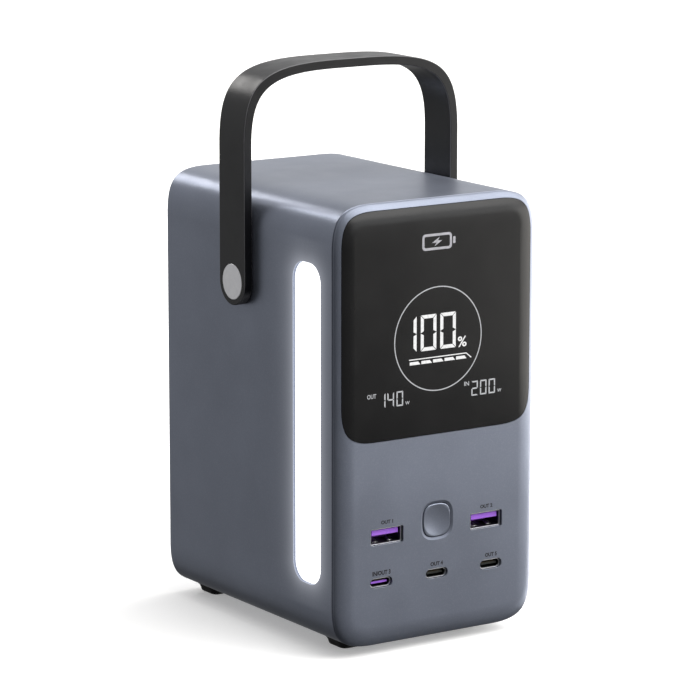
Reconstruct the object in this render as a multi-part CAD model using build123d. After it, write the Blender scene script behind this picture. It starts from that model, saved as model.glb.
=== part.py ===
from build123d import *
import os
from math import cos, radians, sin

os.makedirs("parts", exist_ok=True)

# Portable power station, in millimetres. +X is to the right, -Y is the side with the screen, +Z is up.
# x = 0 and y = 0 are the middle of the body, and z = 0 is the surface it stands on.

# Body
WIDTH = 85.0
DEPTH = 114.5
BODY_HEIGHT = 157.7
FOOT_HEIGHT = 3.5
MID_Z = FOOT_HEIGHT + BODY_HEIGHT / 2
FRONT_Y = -DEPTH / 2
REAR_Y = DEPTH / 2
SIDE_X = WIDTH / 2
WALL = 2.5
CORNER_REACH = 16.4
CORNER_FULLNESS = 0.768
REACH_PER_INSET = 1.38
ROUND_FULLNESS = 0.5523
REAR_EDGE_RADIUS = 1.4
EDGE_BREAK = 0.25

# Front panel and screen
RIM_INSET = 7.3
RIM_DEPTH = 2.7
RIM_STEPS = 6
SEAM_GAP = 0.3
PANEL_EDGE_Y = FRONT_Y + RIM_DEPTH + EDGE_BREAK
SLEEVE_FRONT_Y = PANEL_EDGE_Y + SEAM_GAP
PANEL_BACK_Y = FRONT_Y + 3.65
FLANGE_BACK_Y = FRONT_Y + 8.2
FLANGE_WALL = 1.6
FIT = 0.1
GLASS_INSET = 2.4
GLASS_BOTTOM_Z = MID_Z - 4.9
GLASS_TOP_Z = MID_Z + BODY_HEIGHT / 2 - GLASS_INSET
GLASS_REACH = 13.3
GLASS_THICKNESS = 1.6
GLASS_GAP = 0.2
DISPLAY_WIDTH = 66.0
DISPLAY_HEIGHT = 58.0
DISPLAY_Z = MID_Z + 32.0
DISPLAY_DEPTH = 4.0
DISPLAY_LAYER = 1.2
DISPLAY_RECESS = (60.0, 52.0)
DISPLAY_BOARD_SIZE = (75.2, 66.2)
DISPLAY_BOARD_Y = FRONT_Y + GLASS_THICKNESS + DISPLAY_DEPTH
DISPLAY_POSTS = [(sx * 35.2, DISPLAY_Z + sz * 30.7) for sx in (-1, 1) for sz in (-1, 1)]
POST_RADIUS = 2.1
BOARD = 1.6
BOARD_CORNER = 1.5

# Ports and power button on the front
USB_A_X = 21.4
USB_A_Z = MID_Z - 39.2
USB_A_HOLE = (13.9, 6.0)
USB_A_SHELL = (13.1, 5.7)
USB_C_X = (-23.8, 0.0, 23.6)
USB_C_Z = MID_Z - 55.8
USB_C_HOLE = (9.5, 3.7)
USB_C_SHELL = (8.94, 3.26)
SHELL_WALL = 0.3
PORT_RECESS = 0.9
PORT_DEPTH = 10.6
PORT_BOARD_Y = FRONT_Y + PORT_RECESS + PORT_DEPTH
PORT_BOARD_SIZE = (64.4, 39.0)
PORT_BOARD_CENTRE = (1.8, MID_Z - 46.5)
PORT_POSTS = [(sx * x, MID_Z - z) for sx in (-1, 1) for x, z in ((10.6, 29.6), (12.5, 63.0))]
SOCKET_BASE = 2.2
USB_A_BLADE_WIDTH = 11.1
USB_A_BLADE_LOW = 0.35
USB_A_BLADE_HIGH = 2.2
USB_A_CONTACTS_X = (-3.5, -1.0, 1.0, 3.5)
USB_A_CONTACT = (1.2, 0.25)
USB_C_BLADE_WIDTH = 6.7
USB_C_BLADE_HALF = 0.35
USB_C_CONTACT_COUNT = 12
USB_C_CONTACT_PITCH = 0.5
USB_C_CONTACT = (0.26, 0.1)
BUTTON_Z = MID_Z - 36.4
BUTTON_SIZE = (11.6, 12.0)
BUTTON_REACH = 5.0
BUTTON_FULLNESS = 0.7
BUTTON_GAP = 0.2
BUTTON_BEVEL = 0.9
BUTTON_SINK = 0.12
BUTTON_EDGE = 0.35
BUTTON_DISH_RADIUS = 38.0
BUTTON_DISH_DEPTH = 0.42
BUTTON_FLANGE = 1.0
BUTTON_FLANGE_REACH = 1.1
BUTTON_STEM_RADIUS = 2.0
BUTTON_PAD = 1.1
PAD_RADIUS = 2.6
PAD_HOLLOW_RADIUS = 1.4
PAD_SKIN = 0.4
SWITCH_HEIGHT = 3.5
SWITCH_WIDTH = 6.0
STEM_END_Y = PORT_BOARD_Y - SWITCH_HEIGHT - BUTTON_PAD

# Lamp in the left side
LAMP_Y = -37.9
LAMP_WIDTH = 17.8
LAMP_HEIGHT = 115.2
LAMP_CORNER = 7.0
LAMP_RECESS = 0.8
LAMP_DEPTH = 6.8
LAMP_LIP = 0.8
LENS_LIP = 1.2
LENS_EDGE = 0.4
LENS_FACE_X = -SIDE_X + LAMP_RECESS
LENS_BACK_X = -SIDE_X + WALL + LENS_LIP
TRAY_WALL = 1.2
TRAY_FLOOR_X = LENS_BACK_X + LAMP_DEPTH
EAR_WIDTH = 10.0
EAR_REACH = 6.0
EAR_SCREW_REACH = 3.6
LAMP_BOARD = 1.2
LAMP_BOARD_MARGIN = 1.5
LAMP_BOARD_X = TRAY_FLOOR_X - TRAY_WALL - LAMP_BOARD
LAMP_BOARD_SCREWS_Z = (MID_Z - 51.5, MID_Z + 51.5)
LED_COUNT = 14
LED_SPAN = 92.0
LED_WIDTH = 2.8
LED_LENGTH = 3.5
LED_HEIGHT = 0.7

# Handle
PIVOT_Y = 5.3
PIVOT_Z = MID_Z + 44.5
HANDLE_OUTER_X = 46.2
HANDLE_THICKNESS = 3.3
HANDLE_WIDTH = 16.9
HANDLE_TOP_Z = MID_Z + 122.6
HANDLE_REACH_X = 39.9
HANDLE_REACH_Z = 29.5
HANDLE_FULLNESS = 0.811
HANDLE_EDGE = 0.35
CAP_RADIUS = 6.5
CAP_THICKNESS = 1.1
CAP_EDGE = 0.25
SHOULDER_RADIUS = 3.0
BUSH_RADIUS = 4.0
BUSH_THICKNESS = 0.9
PIVOT_HEAD_RADIUS = 4.3
PIVOT_HEAD = 1.0
PIVOT_THREAD_RADIUS = 2.0
WASHER_RADIUS = 7.0
WASHER_THICKNESS = 0.3
PLATE_RADIUS = 8.0
PLATE_THICKNESS = 1.9
RUNNING_FIT = 0.05

# Battery
CELL_RADIUS = 16.1
CELL_LENGTH = 70.5
CELL_PITCH = 33.5
CELL_ROWS = 4
CELL_COLUMNS_Y = (2.3, 35.8)
CELL_SHOULDER = 0.9
POLE_RADIUS = 6.0
POLE_HEIGHT = 1.2
GROOVE_FROM_POLE = (3.4, 4.6)
GROOVE_DEPTH = 0.7
PACK_TOP_Z = MID_Z + CELL_PITCH * CELL_ROWS / 2
HOLDER_INNER_X = 31.5
HOLDER_OUTER_X = 37.0
HOLDER_CORNER = 3.0
CUP_FIT = 0.2
POLE_WINDOW_RADIUS = 10.0
STRIP_REACH = 6.0
STRIP_THICKNESS = 0.3
STRIP_CORNER = 3.0
STRIP_DIMPLE_RADIUS = 4.0
FOAM_THICKNESS = 2.4
FOAM_HALF_WIDTH = 24.0
FOAM_Y = (-8.0, 44.0)
BATTERY_BOARD_HALF_WIDTH = 26.0
BATTERY_BOARD_Y = (-12.0, 48.0)
BATTERY_CHIPS_X = (-15.0, -5.0, 5.0, 15.0)
BATTERY_CHIP_HALF = 3.0
BATTERY_CHIP_Y = (2.0, 12.0)
BATTERY_CHIP_HEIGHT = 1.0
LEAD_RADIUS = 1.2
LEAD_BEND = 2.8
LEAD_X = 8.0
LEAD_START_Y = -9.0
LEAD_END_Z = MID_Z + 58.0

# Frame, feet and screws
TIE_X = 33.0
TIE_Z = 71.0
TIE_RADIUS = 1.5
RAIL_RADIUS = 3.4
TIE_BOSS_RADIUS = 4.0
TIE_HEAD_HEIGHT = 1.7
TIE_SOCKET_RADIUS = 1.1
TIE_SOCKET_DEPTH = 1.2
RING_Y = -26.5
RING_THICKNESS = 2.0
RING_CLEARANCE = 0.4
RING_WINDOW = (66.0, 120.0)
REAR_RING_THICKNESS = 1.6
REAR_RING_WINDOW = (64.0, 126.0)
WINDOW_CORNER = 6.0
REAR_PANEL_THICKNESS = 2.6
REAR_PANEL_SINK = 0.4
REAR_PANEL_EDGE = 0.4
FOOT_WIDTH = 16.0
FOOT_DEPTH = 11.0
FOOT_CORNER = 2.6
FOOT_FLARE = 2.2
FOOT_PROFILE = ((0.0, -0.5), (0.5, 0.0), (1.7, 0.35), (2.8, 1.1), (FOOT_HEIGHT, FOOT_FLARE))
FOOT_HEAD_HOLE_RADIUS = 2.4
FOOT_HEAD_RADIUS = 2.0
FOOT_HEAD_Z = (0.7, 1.8)
FOOT_X = 23.0
FOOT_CENTRES_Y = (-38.2, 49.3)
SCREW_RADIUS = 1.0
SCREW_HEAD_RADIUS = 1.9
SCREW_HEAD = 1.1
THREAD_BITE = 0.02

# Main board
MAIN_BOARD_Y = RING_Y + RING_THICKNESS
MAIN_BOARD_SIZE = (74.0, 126.0)
MAIN_BOARD_CORNER = 2.0
MAIN_BOARD_SCREWS = [(sx * 34.5, MID_Z + sz * 55.0) for sx in (-1, 1) for sz in (-1, 1)]
HEATSINK_X = (-20.0, 24.0)
HEATSINK_Z = (MID_Z + 4.0, MID_Z + 52.0)
HEATSINK_BASE = 2.4
FIN_COUNT = 9
FIN_THICKNESS = 1.5
FIN_HEIGHT = 9.5
COIL_X = (-16.0, 2.0, 20.0)
COIL_Z = MID_Z - 16.0
COIL_WIDTH = 13.0
COIL_HEIGHT = 7.0
COIL_CORNER = 2.0
CAPACITOR_X = (-18.0, -6.0, 6.0, 18.0)
CAPACITOR_Z = MID_Z - 34.0
CAPACITOR_RADIUS = 4.0
CAPACITOR_HEIGHT = 13.0


# Shared helpers. Flat shapes are drawn with local x as X and local y as Z, and then turned upright.

def rounded(width, height, reach, fullness=ROUND_FULLNESS):
    """Flat rounded rectangle. Each corner is one smooth curve that takes `reach` of both its sides."""
    w = width / 2
    h = height / 2
    near = reach * (1 - fullness)
    edges = []
    corners = []
    for sx, sz in ((1, 1), (-1, 1), (-1, -1), (1, -1)):
        points = [(sx * w, sz * (h - reach)), (sx * w, sz * (h - near))]
        points += [(sx * (w - near), sz * h), (sx * (w - reach), sz * h)]
        if sx * sz < 0:
            points.reverse()
        corners.append(points)
    for i in range(4):
        edges.append(Bezier(*corners[i]))
        edges.append(Line(corners[i][-1], corners[(i + 1) % 4][0]))
    return Face(Wire(edges))


def upright(face, y):
    """Stand a flat shape up in the plane at y."""
    return Pos(0, y, 0) * Rot(90, 0, 0) * face


def slab(face, y0, y1):
    """Solid from y0 to y1 with a flat shape as its section."""
    return Pos(0, y1, 0) * Rot(90, 0, 0) * extrude(face, y1 - y0)


def facing_x(face, x0, x1, y, z):
    """Solid from x0 to x1 whose section is a flat shape with local x as Y and local y as Z."""
    return Plane((x0, y, z), x_dir=(0, 1, 0), z_dir=(1, 0, 0)) * extrude(face, x1 - x0)


def body_outline(inset):
    """The body's outline, moved inwards by `inset`, centred on the body's height."""
    reach = CORNER_REACH - REACH_PER_INSET * inset
    return Pos(0, MID_Z) * rounded(WIDTH - 2 * inset, BODY_HEIGHT - 2 * inset, reach, CORNER_FULLNESS)


def block(x0, x1, y0, y1, z0, z1):
    """Box between two corners."""
    size = Box(x1 - x0, y1 - y0, z1 - z0)
    return Pos((x0 + x1) / 2, (y0 + y1) / 2, (z0 + z1) / 2) * size


def rod_x(radius, x0, x1, y, z):
    """Cylinder along X."""
    return Pos((x0 + x1) / 2, y, z) * Rot(0, 90, 0) * Cylinder(radius, abs(x1 - x0))


def rod_y(radius, y0, y1, x, z):
    """Cylinder along Y."""
    return Pos(x, (y0 + y1) / 2, z) * Rot(90, 0, 0) * Cylinder(radius, abs(y1 - y0))


def rod_z(radius, z0, z1, x, y):
    """Cylinder along Z."""
    return Pos(x, y, (z0 + z1) / 2) * Cylinder(radius, abs(z1 - z0))


def mirrored(solid):
    """The same piece on the other side of x = 0."""
    return mirror(solid, Plane.YZ)


def both_sides(solid):
    """A piece and its mirror image, as two separate solids."""
    return [solid, mirrored(solid)]


def save(name, solids):
    """Write one node, a single solid or a group of separate ones."""
    pieces = solids if isinstance(solids, list) else [solids]
    found = []
    for piece in pieces:
        found += piece.solids()
    node = found[0] if len(found) == 1 else Compound(children=found)
    export_step(node, f"parts/{name}.step")


TIE_POINTS = [(sx * TIE_X, MID_Z + sz * TIE_Z) for sx in (-1, 1) for sz in (-1, 1)]
FEET = {
    "foot_front_left": (-FOOT_X, FOOT_CENTRES_Y[0]),
    "foot_front_right": (FOOT_X, FOOT_CENTRES_Y[0]),
    "foot_rear_left": (-FOOT_X, FOOT_CENTRES_Y[1]),
    "foot_rear_right": (FOOT_X, FOOT_CENTRES_Y[1]),
}


# Casing

def lamp_shape(margin, x0, x1):
    """Rounded bar of the lamp's outline, `margin` larger all round, from x0 to x1."""
    width = LAMP_WIDTH + 2 * margin
    height = LAMP_HEIGHT + 2 * margin
    return facing_x(rounded(width, height, LAMP_CORNER + margin), x0, x1, LAMP_Y, MID_Z)


def sleeve():
    straight = slab(body_outline(0), SLEEVE_FRONT_Y + EDGE_BREAK, REAR_Y)
    edges = straight.edges().filter_by(lambda e: abs(e.center().Y - REAR_Y) < 0.01)
    straight = fillet(edges, REAR_EDGE_RADIUS)
    lip = [upright(body_outline(EDGE_BREAK), SLEEVE_FRONT_Y)]
    lip.append(upright(body_outline(0), SLEEVE_FRONT_Y + EDGE_BREAK))
    tube = straight + loft(lip, ruled=True)
    tube -= slab(body_outline(WALL), SLEEVE_FRONT_Y - 1, REAR_Y + 1)
    tube -= lamp_shape(0, -SIDE_X - 1, -SIDE_X + WALL + 1)
    tube -= rod_x(SHOULDER_RADIUS + RUNNING_FIT, -SIDE_X - 1, SIDE_X + 1, PIVOT_Y, PIVOT_Z)
    for x, y in FEET.values():
        tube -= rod_z(SCREW_RADIUS + RUNNING_FIT, FOOT_HEIGHT - 1, FOOT_HEIGHT + WALL + 1, x, y)
    return tube


def front_form():
    """The front's outer form: a flat face whose rim falls away in a quarter ellipse to the seam."""
    sections = []
    for step in range(RIM_STEPS + 1):
        angle = radians(90 * step / RIM_STEPS)
        inset = RIM_INSET * (1 - cos(angle))
        y = FRONT_Y + RIM_DEPTH * (1 - sin(angle))
        sections.append(upright(body_outline(inset), y))
    edge = [upright(body_outline(EDGE_BREAK), PANEL_EDGE_Y), upright(body_outline(0), FRONT_Y + RIM_DEPTH)]
    return loft(sections) + loft(edge, ruled=True)


def glass_outline(margin):
    width = WIDTH - 2 * GLASS_INSET + 2 * margin
    height = GLASS_TOP_Z - GLASS_BOTTOM_Z + 2 * margin
    shape = rounded(width, height, GLASS_REACH + margin, CORNER_FULLNESS)
    return Pos(0, (GLASS_TOP_Z + GLASS_BOTTOM_Z) / 2) * shape


def screen_glass(form):
    return form & slab(glass_outline(0), FRONT_Y - 1, FRONT_Y + GLASS_THICKNESS)


def display_opening(margin):
    face = rounded(DISPLAY_WIDTH + 2 * margin, DISPLAY_HEIGHT + 2 * margin, 1.5)
    return Pos(0, DISPLAY_Z) * face


def button_outline(margin):
    width, height = (side + 2 * margin for side in BUTTON_SIZE)
    return Pos(0, BUTTON_Z) * rounded(width, height, BUTTON_REACH + margin, BUTTON_FULLNESS)


def button_hole():
    straight = slab(button_outline(BUTTON_GAP), FRONT_Y - 1, PANEL_BACK_Y + 1)
    bevel = [upright(button_outline(BUTTON_GAP + BUTTON_BEVEL), FRONT_Y)]
    bevel.append(upright(button_outline(BUTTON_GAP), FRONT_Y + BUTTON_BEVEL / 2))
    mouth = slab(button_outline(BUTTON_GAP + BUTTON_BEVEL), FRONT_Y - 1, FRONT_Y)
    return straight + loft(bevel, ruled=True) + mouth


def port_holes():
    cuts = []
    for x in (-USB_A_X, USB_A_X):
        face = Pos(x, USB_A_Z) * rounded(*USB_A_HOLE, 0.6)
        cuts.append(slab(face, FRONT_Y - 1, PANEL_BACK_Y + 1))
    for x in USB_C_X:
        face = Pos(x, USB_C_Z) * rounded(*USB_C_HOLE, USB_C_HOLE[1] / 2 - 0.01)
        cuts.append(slab(face, FRONT_Y - 1, PANEL_BACK_Y + 1))
    return cuts


def front_panel(form):
    panel = form & slab(body_outline(0), FRONT_Y - 1, PANEL_EDGE_Y)
    core = slab(body_outline(WALL + FIT), PANEL_EDGE_Y - 0.5, PANEL_BACK_Y)
    flange = slab(body_outline(WALL + FIT), PANEL_EDGE_Y - 0.5, FLANGE_BACK_Y)
    flange -= slab(body_outline(WALL + FIT + FLANGE_WALL), PANEL_BACK_Y, FLANGE_BACK_Y + 1)
    panel = panel + core + flange
    panel -= slab(glass_outline(GLASS_GAP), FRONT_Y - 1, FRONT_Y + GLASS_THICKNESS)
    panel -= slab(display_opening(FIT), FRONT_Y, PANEL_BACK_Y + 1)
    panel -= button_hole()
    for cut in port_holes():
        panel -= cut
    for x, z in TIE_POINTS:
        panel += rod_y(TIE_BOSS_RADIUS, PANEL_BACK_Y, FLANGE_BACK_Y, x, z)
        panel -= rod_y(TIE_RADIUS + RUNNING_FIT, PANEL_BACK_Y - 1.0, FLANGE_BACK_Y + 1, x, z)
    for x, z in DISPLAY_POSTS:
        panel += rod_y(POST_RADIUS, PANEL_BACK_Y, DISPLAY_BOARD_Y, x, z)
        panel -= rod_y(SCREW_RADIUS, PANEL_BACK_Y, DISPLAY_BOARD_Y + 1, x, z)
    for x, z in PORT_POSTS:
        panel += rod_y(POST_RADIUS, PANEL_BACK_Y, PORT_BOARD_Y, x, z)
        panel -= rod_y(SCREW_RADIUS, PORT_BOARD_Y - 5, PORT_BOARD_Y + 1, x, z)
    return panel


def rear_panel():
    back = REAR_Y - REAR_PANEL_SINK
    plate = slab(body_outline(WALL + FIT), back - REAR_PANEL_THICKNESS, back)
    edges = plate.edges().filter_by(lambda e: abs(e.center().Y - back) < 0.01)
    plate = chamfer(edges, REAR_PANEL_EDGE)
    for x, z in TIE_POINTS:
        plate -= rod_y(TIE_RADIUS + RUNNING_FIT, back - 5, back + 1, x, z)
        plate -= tie_head(x, z, back, FIT)
    return plate


def tie_head(x, z, back, margin):
    """Countersunk head that ends flush with the rear panel."""
    cone = Cone(TIE_RADIUS + margin, 2 * TIE_RADIUS + margin, TIE_HEAD_HEIGHT)
    return Pos(x, back - TIE_HEAD_HEIGHT / 2, z) * Rot(-90, 0, 0) * cone


def tie_screws():
    back = REAR_Y - REAR_PANEL_SINK
    screws = []
    for x, z in TIE_POINTS:
        shank = rod_y(TIE_RADIUS, PANEL_BACK_Y - 0.6, back - 1.0, x, z)
        head = tie_head(x, z, back, 0)
        hexagon = extrude(RegularPolygon(TIE_SOCKET_RADIUS, 6), TIE_SOCKET_DEPTH)
        socket = Pos(x, back, z) * Rot(90, 0, 0) * hexagon
        screws.append(shank + head - socket)
    return screws


def inner_frame():
    """Four hollow rails round the tie screws, joined by a ring behind the lamp and one at the rear."""
    rear = REAR_Y - REAR_PANEL_SINK - REAR_PANEL_THICKNESS
    ring = body_outline(WALL + RING_CLEARANCE)
    window = Pos(0, MID_Z) * rounded(*RING_WINDOW, WINDOW_CORNER)
    frame = slab(ring, RING_Y, RING_Y + RING_THICKNESS) - slab(window, RING_Y - 1, RING_Y + 3)
    rear_window = Pos(0, MID_Z) * rounded(*REAR_RING_WINDOW, WINDOW_CORNER)
    frame += slab(ring, rear - REAR_RING_THICKNESS, rear) - slab(rear_window, rear - 3, rear + 1)
    for x, z in TIE_POINTS:
        frame += rod_y(RAIL_RADIUS, FLANGE_BACK_Y + FIT, rear, x, z)
    for x, z in TIE_POINTS:
        frame -= rod_y(TIE_RADIUS + FIT, FLANGE_BACK_Y - 1, rear + 1, x, z)
    for x, z in MAIN_BOARD_SCREWS:
        frame -= rod_y(SCREW_RADIUS + RUNNING_FIT, RING_Y - 1, RING_Y + 3, x, z)
    return frame


# Display behind the glass

def display_module():
    front = FRONT_Y + GLASS_THICKNESS
    module = slab(display_opening(0), front, front + DISPLAY_DEPTH)
    recess = Pos(0, DISPLAY_Z) * rounded(*DISPLAY_RECESS, 1)
    return module - slab(recess, front + DISPLAY_LAYER, front + 2 * DISPLAY_LAYER)


def display_board():
    face = Pos(0, DISPLAY_Z) * rounded(*DISPLAY_BOARD_SIZE, BOARD_CORNER)
    board = slab(face, DISPLAY_BOARD_Y, DISPLAY_BOARD_Y + BOARD)
    for x, z in DISPLAY_POSTS:
        board -= rod_y(SCREW_RADIUS + FIT, DISPLAY_BOARD_Y - 1, DISPLAY_BOARD_Y + 3, x, z)
    return board


# Ports

def hollow_shell(width, height, reach, x, z):
    """Sheet-metal tube of a socket, open at the front and standing on the port board."""
    front = FRONT_Y + PORT_RECESS
    outer = Pos(x, z) * rounded(width, height, reach)
    inner = Pos(x, z) * rounded(width - 2 * SHELL_WALL, height - 2 * SHELL_WALL, reach - SHELL_WALL)
    return slab(outer, front, PORT_BOARD_Y) - slab(inner, front - 1, PORT_BOARD_Y + 1)


def usb_a_shell(x):
    return hollow_shell(*USB_A_SHELL, 0.55, x, USB_A_Z)


def usb_a_tongue(x):
    width = USB_A_SHELL[0] - 2 * SHELL_WALL - FIT
    height = USB_A_SHELL[1] - 2 * SHELL_WALL - FIT
    base = Pos(x, USB_A_Z) * rounded(width, height, 0.25)
    body = slab(base, PORT_BOARD_Y - SOCKET_BASE, PORT_BOARD_Y)
    half = USB_A_BLADE_WIDTH / 2
    z = (USB_A_Z + USB_A_BLADE_LOW, USB_A_Z + USB_A_BLADE_HIGH)
    blade = block(x - half, x + half, FRONT_Y + 1.5, PORT_BOARD_Y - 1, *z)
    return body + blade


def usb_a_contacts():
    strips = []
    for port_x in (-USB_A_X, USB_A_X):
        for offset in USB_A_CONTACTS_X:
            x = port_x + offset
            half = USB_A_CONTACT[0] / 2
            top = USB_A_Z + USB_A_BLADE_LOW
            y = (FRONT_Y + 2.2, PORT_BOARD_Y - SOCKET_BASE)
            strips.append(block(x - half, x + half, *y, top - USB_A_CONTACT[1], top))
    return strips


def usb_c_shell(x):
    return hollow_shell(*USB_C_SHELL, USB_C_SHELL[1] / 2 - 0.01, x, USB_C_Z)


def usb_c_tongue(x):
    width = USB_C_SHELL[0] - 2 * SHELL_WALL - FIT
    height = USB_C_SHELL[1] - 2 * SHELL_WALL - FIT
    base = Pos(x, USB_C_Z) * rounded(width, height, height / 2 - 0.01)
    body = slab(base, PORT_BOARD_Y - SOCKET_BASE, PORT_BOARD_Y)
    half = USB_C_BLADE_WIDTH / 2
    z = (USB_C_Z - USB_C_BLADE_HALF, USB_C_Z + USB_C_BLADE_HALF)
    return body + block(x - half, x + half, FRONT_Y + 1.6, PORT_BOARD_Y - 1, *z)


def usb_c_contacts():
    strips = []
    for port_x in USB_C_X:
        for index in range(USB_C_CONTACT_COUNT):
            x = port_x + (index - (USB_C_CONTACT_COUNT - 1) / 2) * USB_C_CONTACT_PITCH
            x_span = (x - USB_C_CONTACT[0] / 2, x + USB_C_CONTACT[0] / 2)
            y_span = (FRONT_Y + 2.0, PORT_BOARD_Y - SOCKET_BASE)
            low = USB_C_BLADE_HALF
            high = low + USB_C_CONTACT[1]
            strips.append(block(*x_span, *y_span, USB_C_Z + low, USB_C_Z + high))
            strips.append(block(*x_span, *y_span, USB_C_Z - high, USB_C_Z - low))
    return strips


def port_board():
    face = Pos(*PORT_BOARD_CENTRE) * rounded(*PORT_BOARD_SIZE, BOARD_CORNER)
    board = slab(face, PORT_BOARD_Y, PORT_BOARD_Y + BOARD)
    for x, z in PORT_POSTS:
        board -= rod_y(SCREW_RADIUS + FIT, PORT_BOARD_Y - 1, PORT_BOARD_Y + 3, x, z)
    return board


# Power button

def power_button():
    """Dished key with a flange behind the panel and a stem that works the switch through the pad."""
    face_y = FRONT_Y + BUTTON_SINK
    flange_y = PANEL_BACK_Y + 0.3
    key = slab(button_outline(0), face_y, flange_y + 0.2)
    edges = key.edges().filter_by(lambda e: abs(e.center().Y - face_y) < 0.01)
    key = fillet(edges, BUTTON_EDGE)
    key -= Pos(0, face_y + BUTTON_DISH_DEPTH - BUTTON_DISH_RADIUS, BUTTON_Z) * Sphere(BUTTON_DISH_RADIUS)
    flange = slab(button_outline(BUTTON_FLANGE_REACH), flange_y, flange_y + BUTTON_FLANGE)
    return key + flange + rod_y(BUTTON_STEM_RADIUS, flange_y, STEM_END_Y, 0, BUTTON_Z)


def button_pad():
    end = STEM_END_Y + BUTTON_PAD
    pad = rod_y(PAD_RADIUS, STEM_END_Y, end, 0, BUTTON_Z)
    return pad - rod_y(PAD_HOLLOW_RADIUS, STEM_END_Y + PAD_SKIN, end, 0, BUTTON_Z)


def button_switch():
    half = SWITCH_WIDTH / 2
    return block(-half, half, PORT_BOARD_Y - SWITCH_HEIGHT, PORT_BOARD_Y, BUTTON_Z - half, BUTTON_Z + half)


# Lamp

def lamp_lens():
    plug = lamp_shape(-FIT, LENS_FACE_X, -SIDE_X + WALL)
    edges = plug.edges().filter_by(lambda e: abs(e.center().X - LENS_FACE_X) < 0.01)
    plug = fillet(edges, LENS_EDGE)
    return plug + lamp_shape(LAMP_LIP, -SIDE_X + WALL, LENS_BACK_X)


def lamp_carrier():
    """White tray behind the lens, with an ear at each end."""
    tray = lamp_shape(LAMP_LIP, LENS_BACK_X, TRAY_FLOOR_X)
    tray -= lamp_shape(LAMP_LIP - TRAY_WALL, LENS_BACK_X - 1, TRAY_FLOOR_X - TRAY_WALL)
    for side in (-1, 1):
        end = MID_Z + side * (LAMP_HEIGHT / 2 + LAMP_LIP)
        z = sorted((end - side, end + side * EAR_REACH))
        y = (LAMP_Y - EAR_WIDTH / 2, LAMP_Y + EAR_WIDTH / 2)
        ear = block(LENS_BACK_X - LENS_LIP, LENS_BACK_X + 1, *y, *z)
        tray += ear - lamp_shape(LAMP_LIP + FIT, LENS_BACK_X - 2, LENS_BACK_X)
        x = (LENS_BACK_X - 2, LENS_BACK_X + 2)
        tray -= rod_x(SCREW_RADIUS + FIT, *x, LAMP_Y, end + side * EAR_SCREW_REACH)
    for z in LAMP_BOARD_SCREWS_Z:
        tray -= rod_x(SCREW_RADIUS + RUNNING_FIT, TRAY_FLOOR_X - 2, TRAY_FLOOR_X + 1, LAMP_Y, z)
    return tray


def lamp_board():
    width = LAMP_WIDTH - 2 * LAMP_BOARD_MARGIN
    height = LAMP_HEIGHT - 2 * LAMP_BOARD_MARGIN
    face = rounded(width, height, LAMP_CORNER - LAMP_BOARD_MARGIN)
    board = facing_x(face, LAMP_BOARD_X, LAMP_BOARD_X + LAMP_BOARD, LAMP_Y, MID_Z)
    for z in LAMP_BOARD_SCREWS_Z:
        board -= rod_x(SCREW_RADIUS + FIT, LAMP_BOARD_X - 1, LAMP_BOARD_X + 3, LAMP_Y, z)
    return board


def lamp_leds():
    chips = []
    for index in range(LED_COUNT):
        z = MID_Z + LED_SPAN * (index / (LED_COUNT - 1) - 0.5)
        y_span = (LAMP_Y - LED_WIDTH / 2, LAMP_Y + LED_WIDTH / 2)
        z_span = (z - LED_LENGTH / 2, z + LED_LENGTH / 2)
        chips.append(block(LAMP_BOARD_X - LED_HEIGHT, LAMP_BOARD_X, *y_span, *z_span))
    return chips


def lamp_screws():
    """Two that hold the tray to the side wall and two that hold the board in the tray."""
    screws = []
    for side in (-1, 1):
        z = MID_Z + side * (LAMP_HEIGHT / 2 + LAMP_LIP + EAR_SCREW_REACH)
        x = LENS_BACK_X + 1
        head = rod_x(SCREW_HEAD_RADIUS, x, x + SCREW_HEAD, LAMP_Y, z)
        screws.append(head + rod_x(SCREW_RADIUS, -SIDE_X + WALL, x + SCREW_HEAD / 2, LAMP_Y, z))
    for z in LAMP_BOARD_SCREWS_Z:
        head = rod_x(SCREW_HEAD_RADIUS, LAMP_BOARD_X - SCREW_HEAD, LAMP_BOARD_X, LAMP_Y, z)
        x = (LAMP_BOARD_X - SCREW_HEAD / 2, TRAY_FLOOR_X)
        screws.append(head + rod_x(SCREW_RADIUS, *x, LAMP_Y, z))
    return screws


# Main board

def main_board():
    face = Pos(0, MID_Z) * rounded(*MAIN_BOARD_SIZE, MAIN_BOARD_CORNER)
    board = slab(face, MAIN_BOARD_Y, MAIN_BOARD_Y + BOARD)
    for x, z in MAIN_BOARD_SCREWS:
        board -= rod_y(SCREW_RADIUS + FIT, MAIN_BOARD_Y - 1, MAIN_BOARD_Y + 3, x, z)
    return board


def heatsink():
    """Finned block against the main board."""
    low, high = HEATSINK_X
    sink = block(low, high, MAIN_BOARD_Y - HEATSINK_BASE, MAIN_BOARD_Y, *HEATSINK_Z)
    pitch = (high - low - FIN_THICKNESS) / (FIN_COUNT - 1)
    y = (MAIN_BOARD_Y - FIN_HEIGHT, MAIN_BOARD_Y - HEATSINK_BASE / 2)
    for index in range(FIN_COUNT):
        x = low + index * pitch
        sink += block(x, x + FIN_THICKNESS, *y, *HEATSINK_Z)
    return sink


def inductors():
    coils = []
    for x in COIL_X:
        core = Pos(x, MAIN_BOARD_Y - COIL_HEIGHT / 2, COIL_Z) * Box(COIL_WIDTH, COIL_HEIGHT, COIL_WIDTH)
        coils.append(chamfer(core.edges().filter_by(Axis.Y), COIL_CORNER))
    return coils


def capacitors():
    y = (MAIN_BOARD_Y - CAPACITOR_HEIGHT, MAIN_BOARD_Y)
    return [rod_y(CAPACITOR_RADIUS, *y, x, CAPACITOR_Z) for x in CAPACITOR_X]


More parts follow.
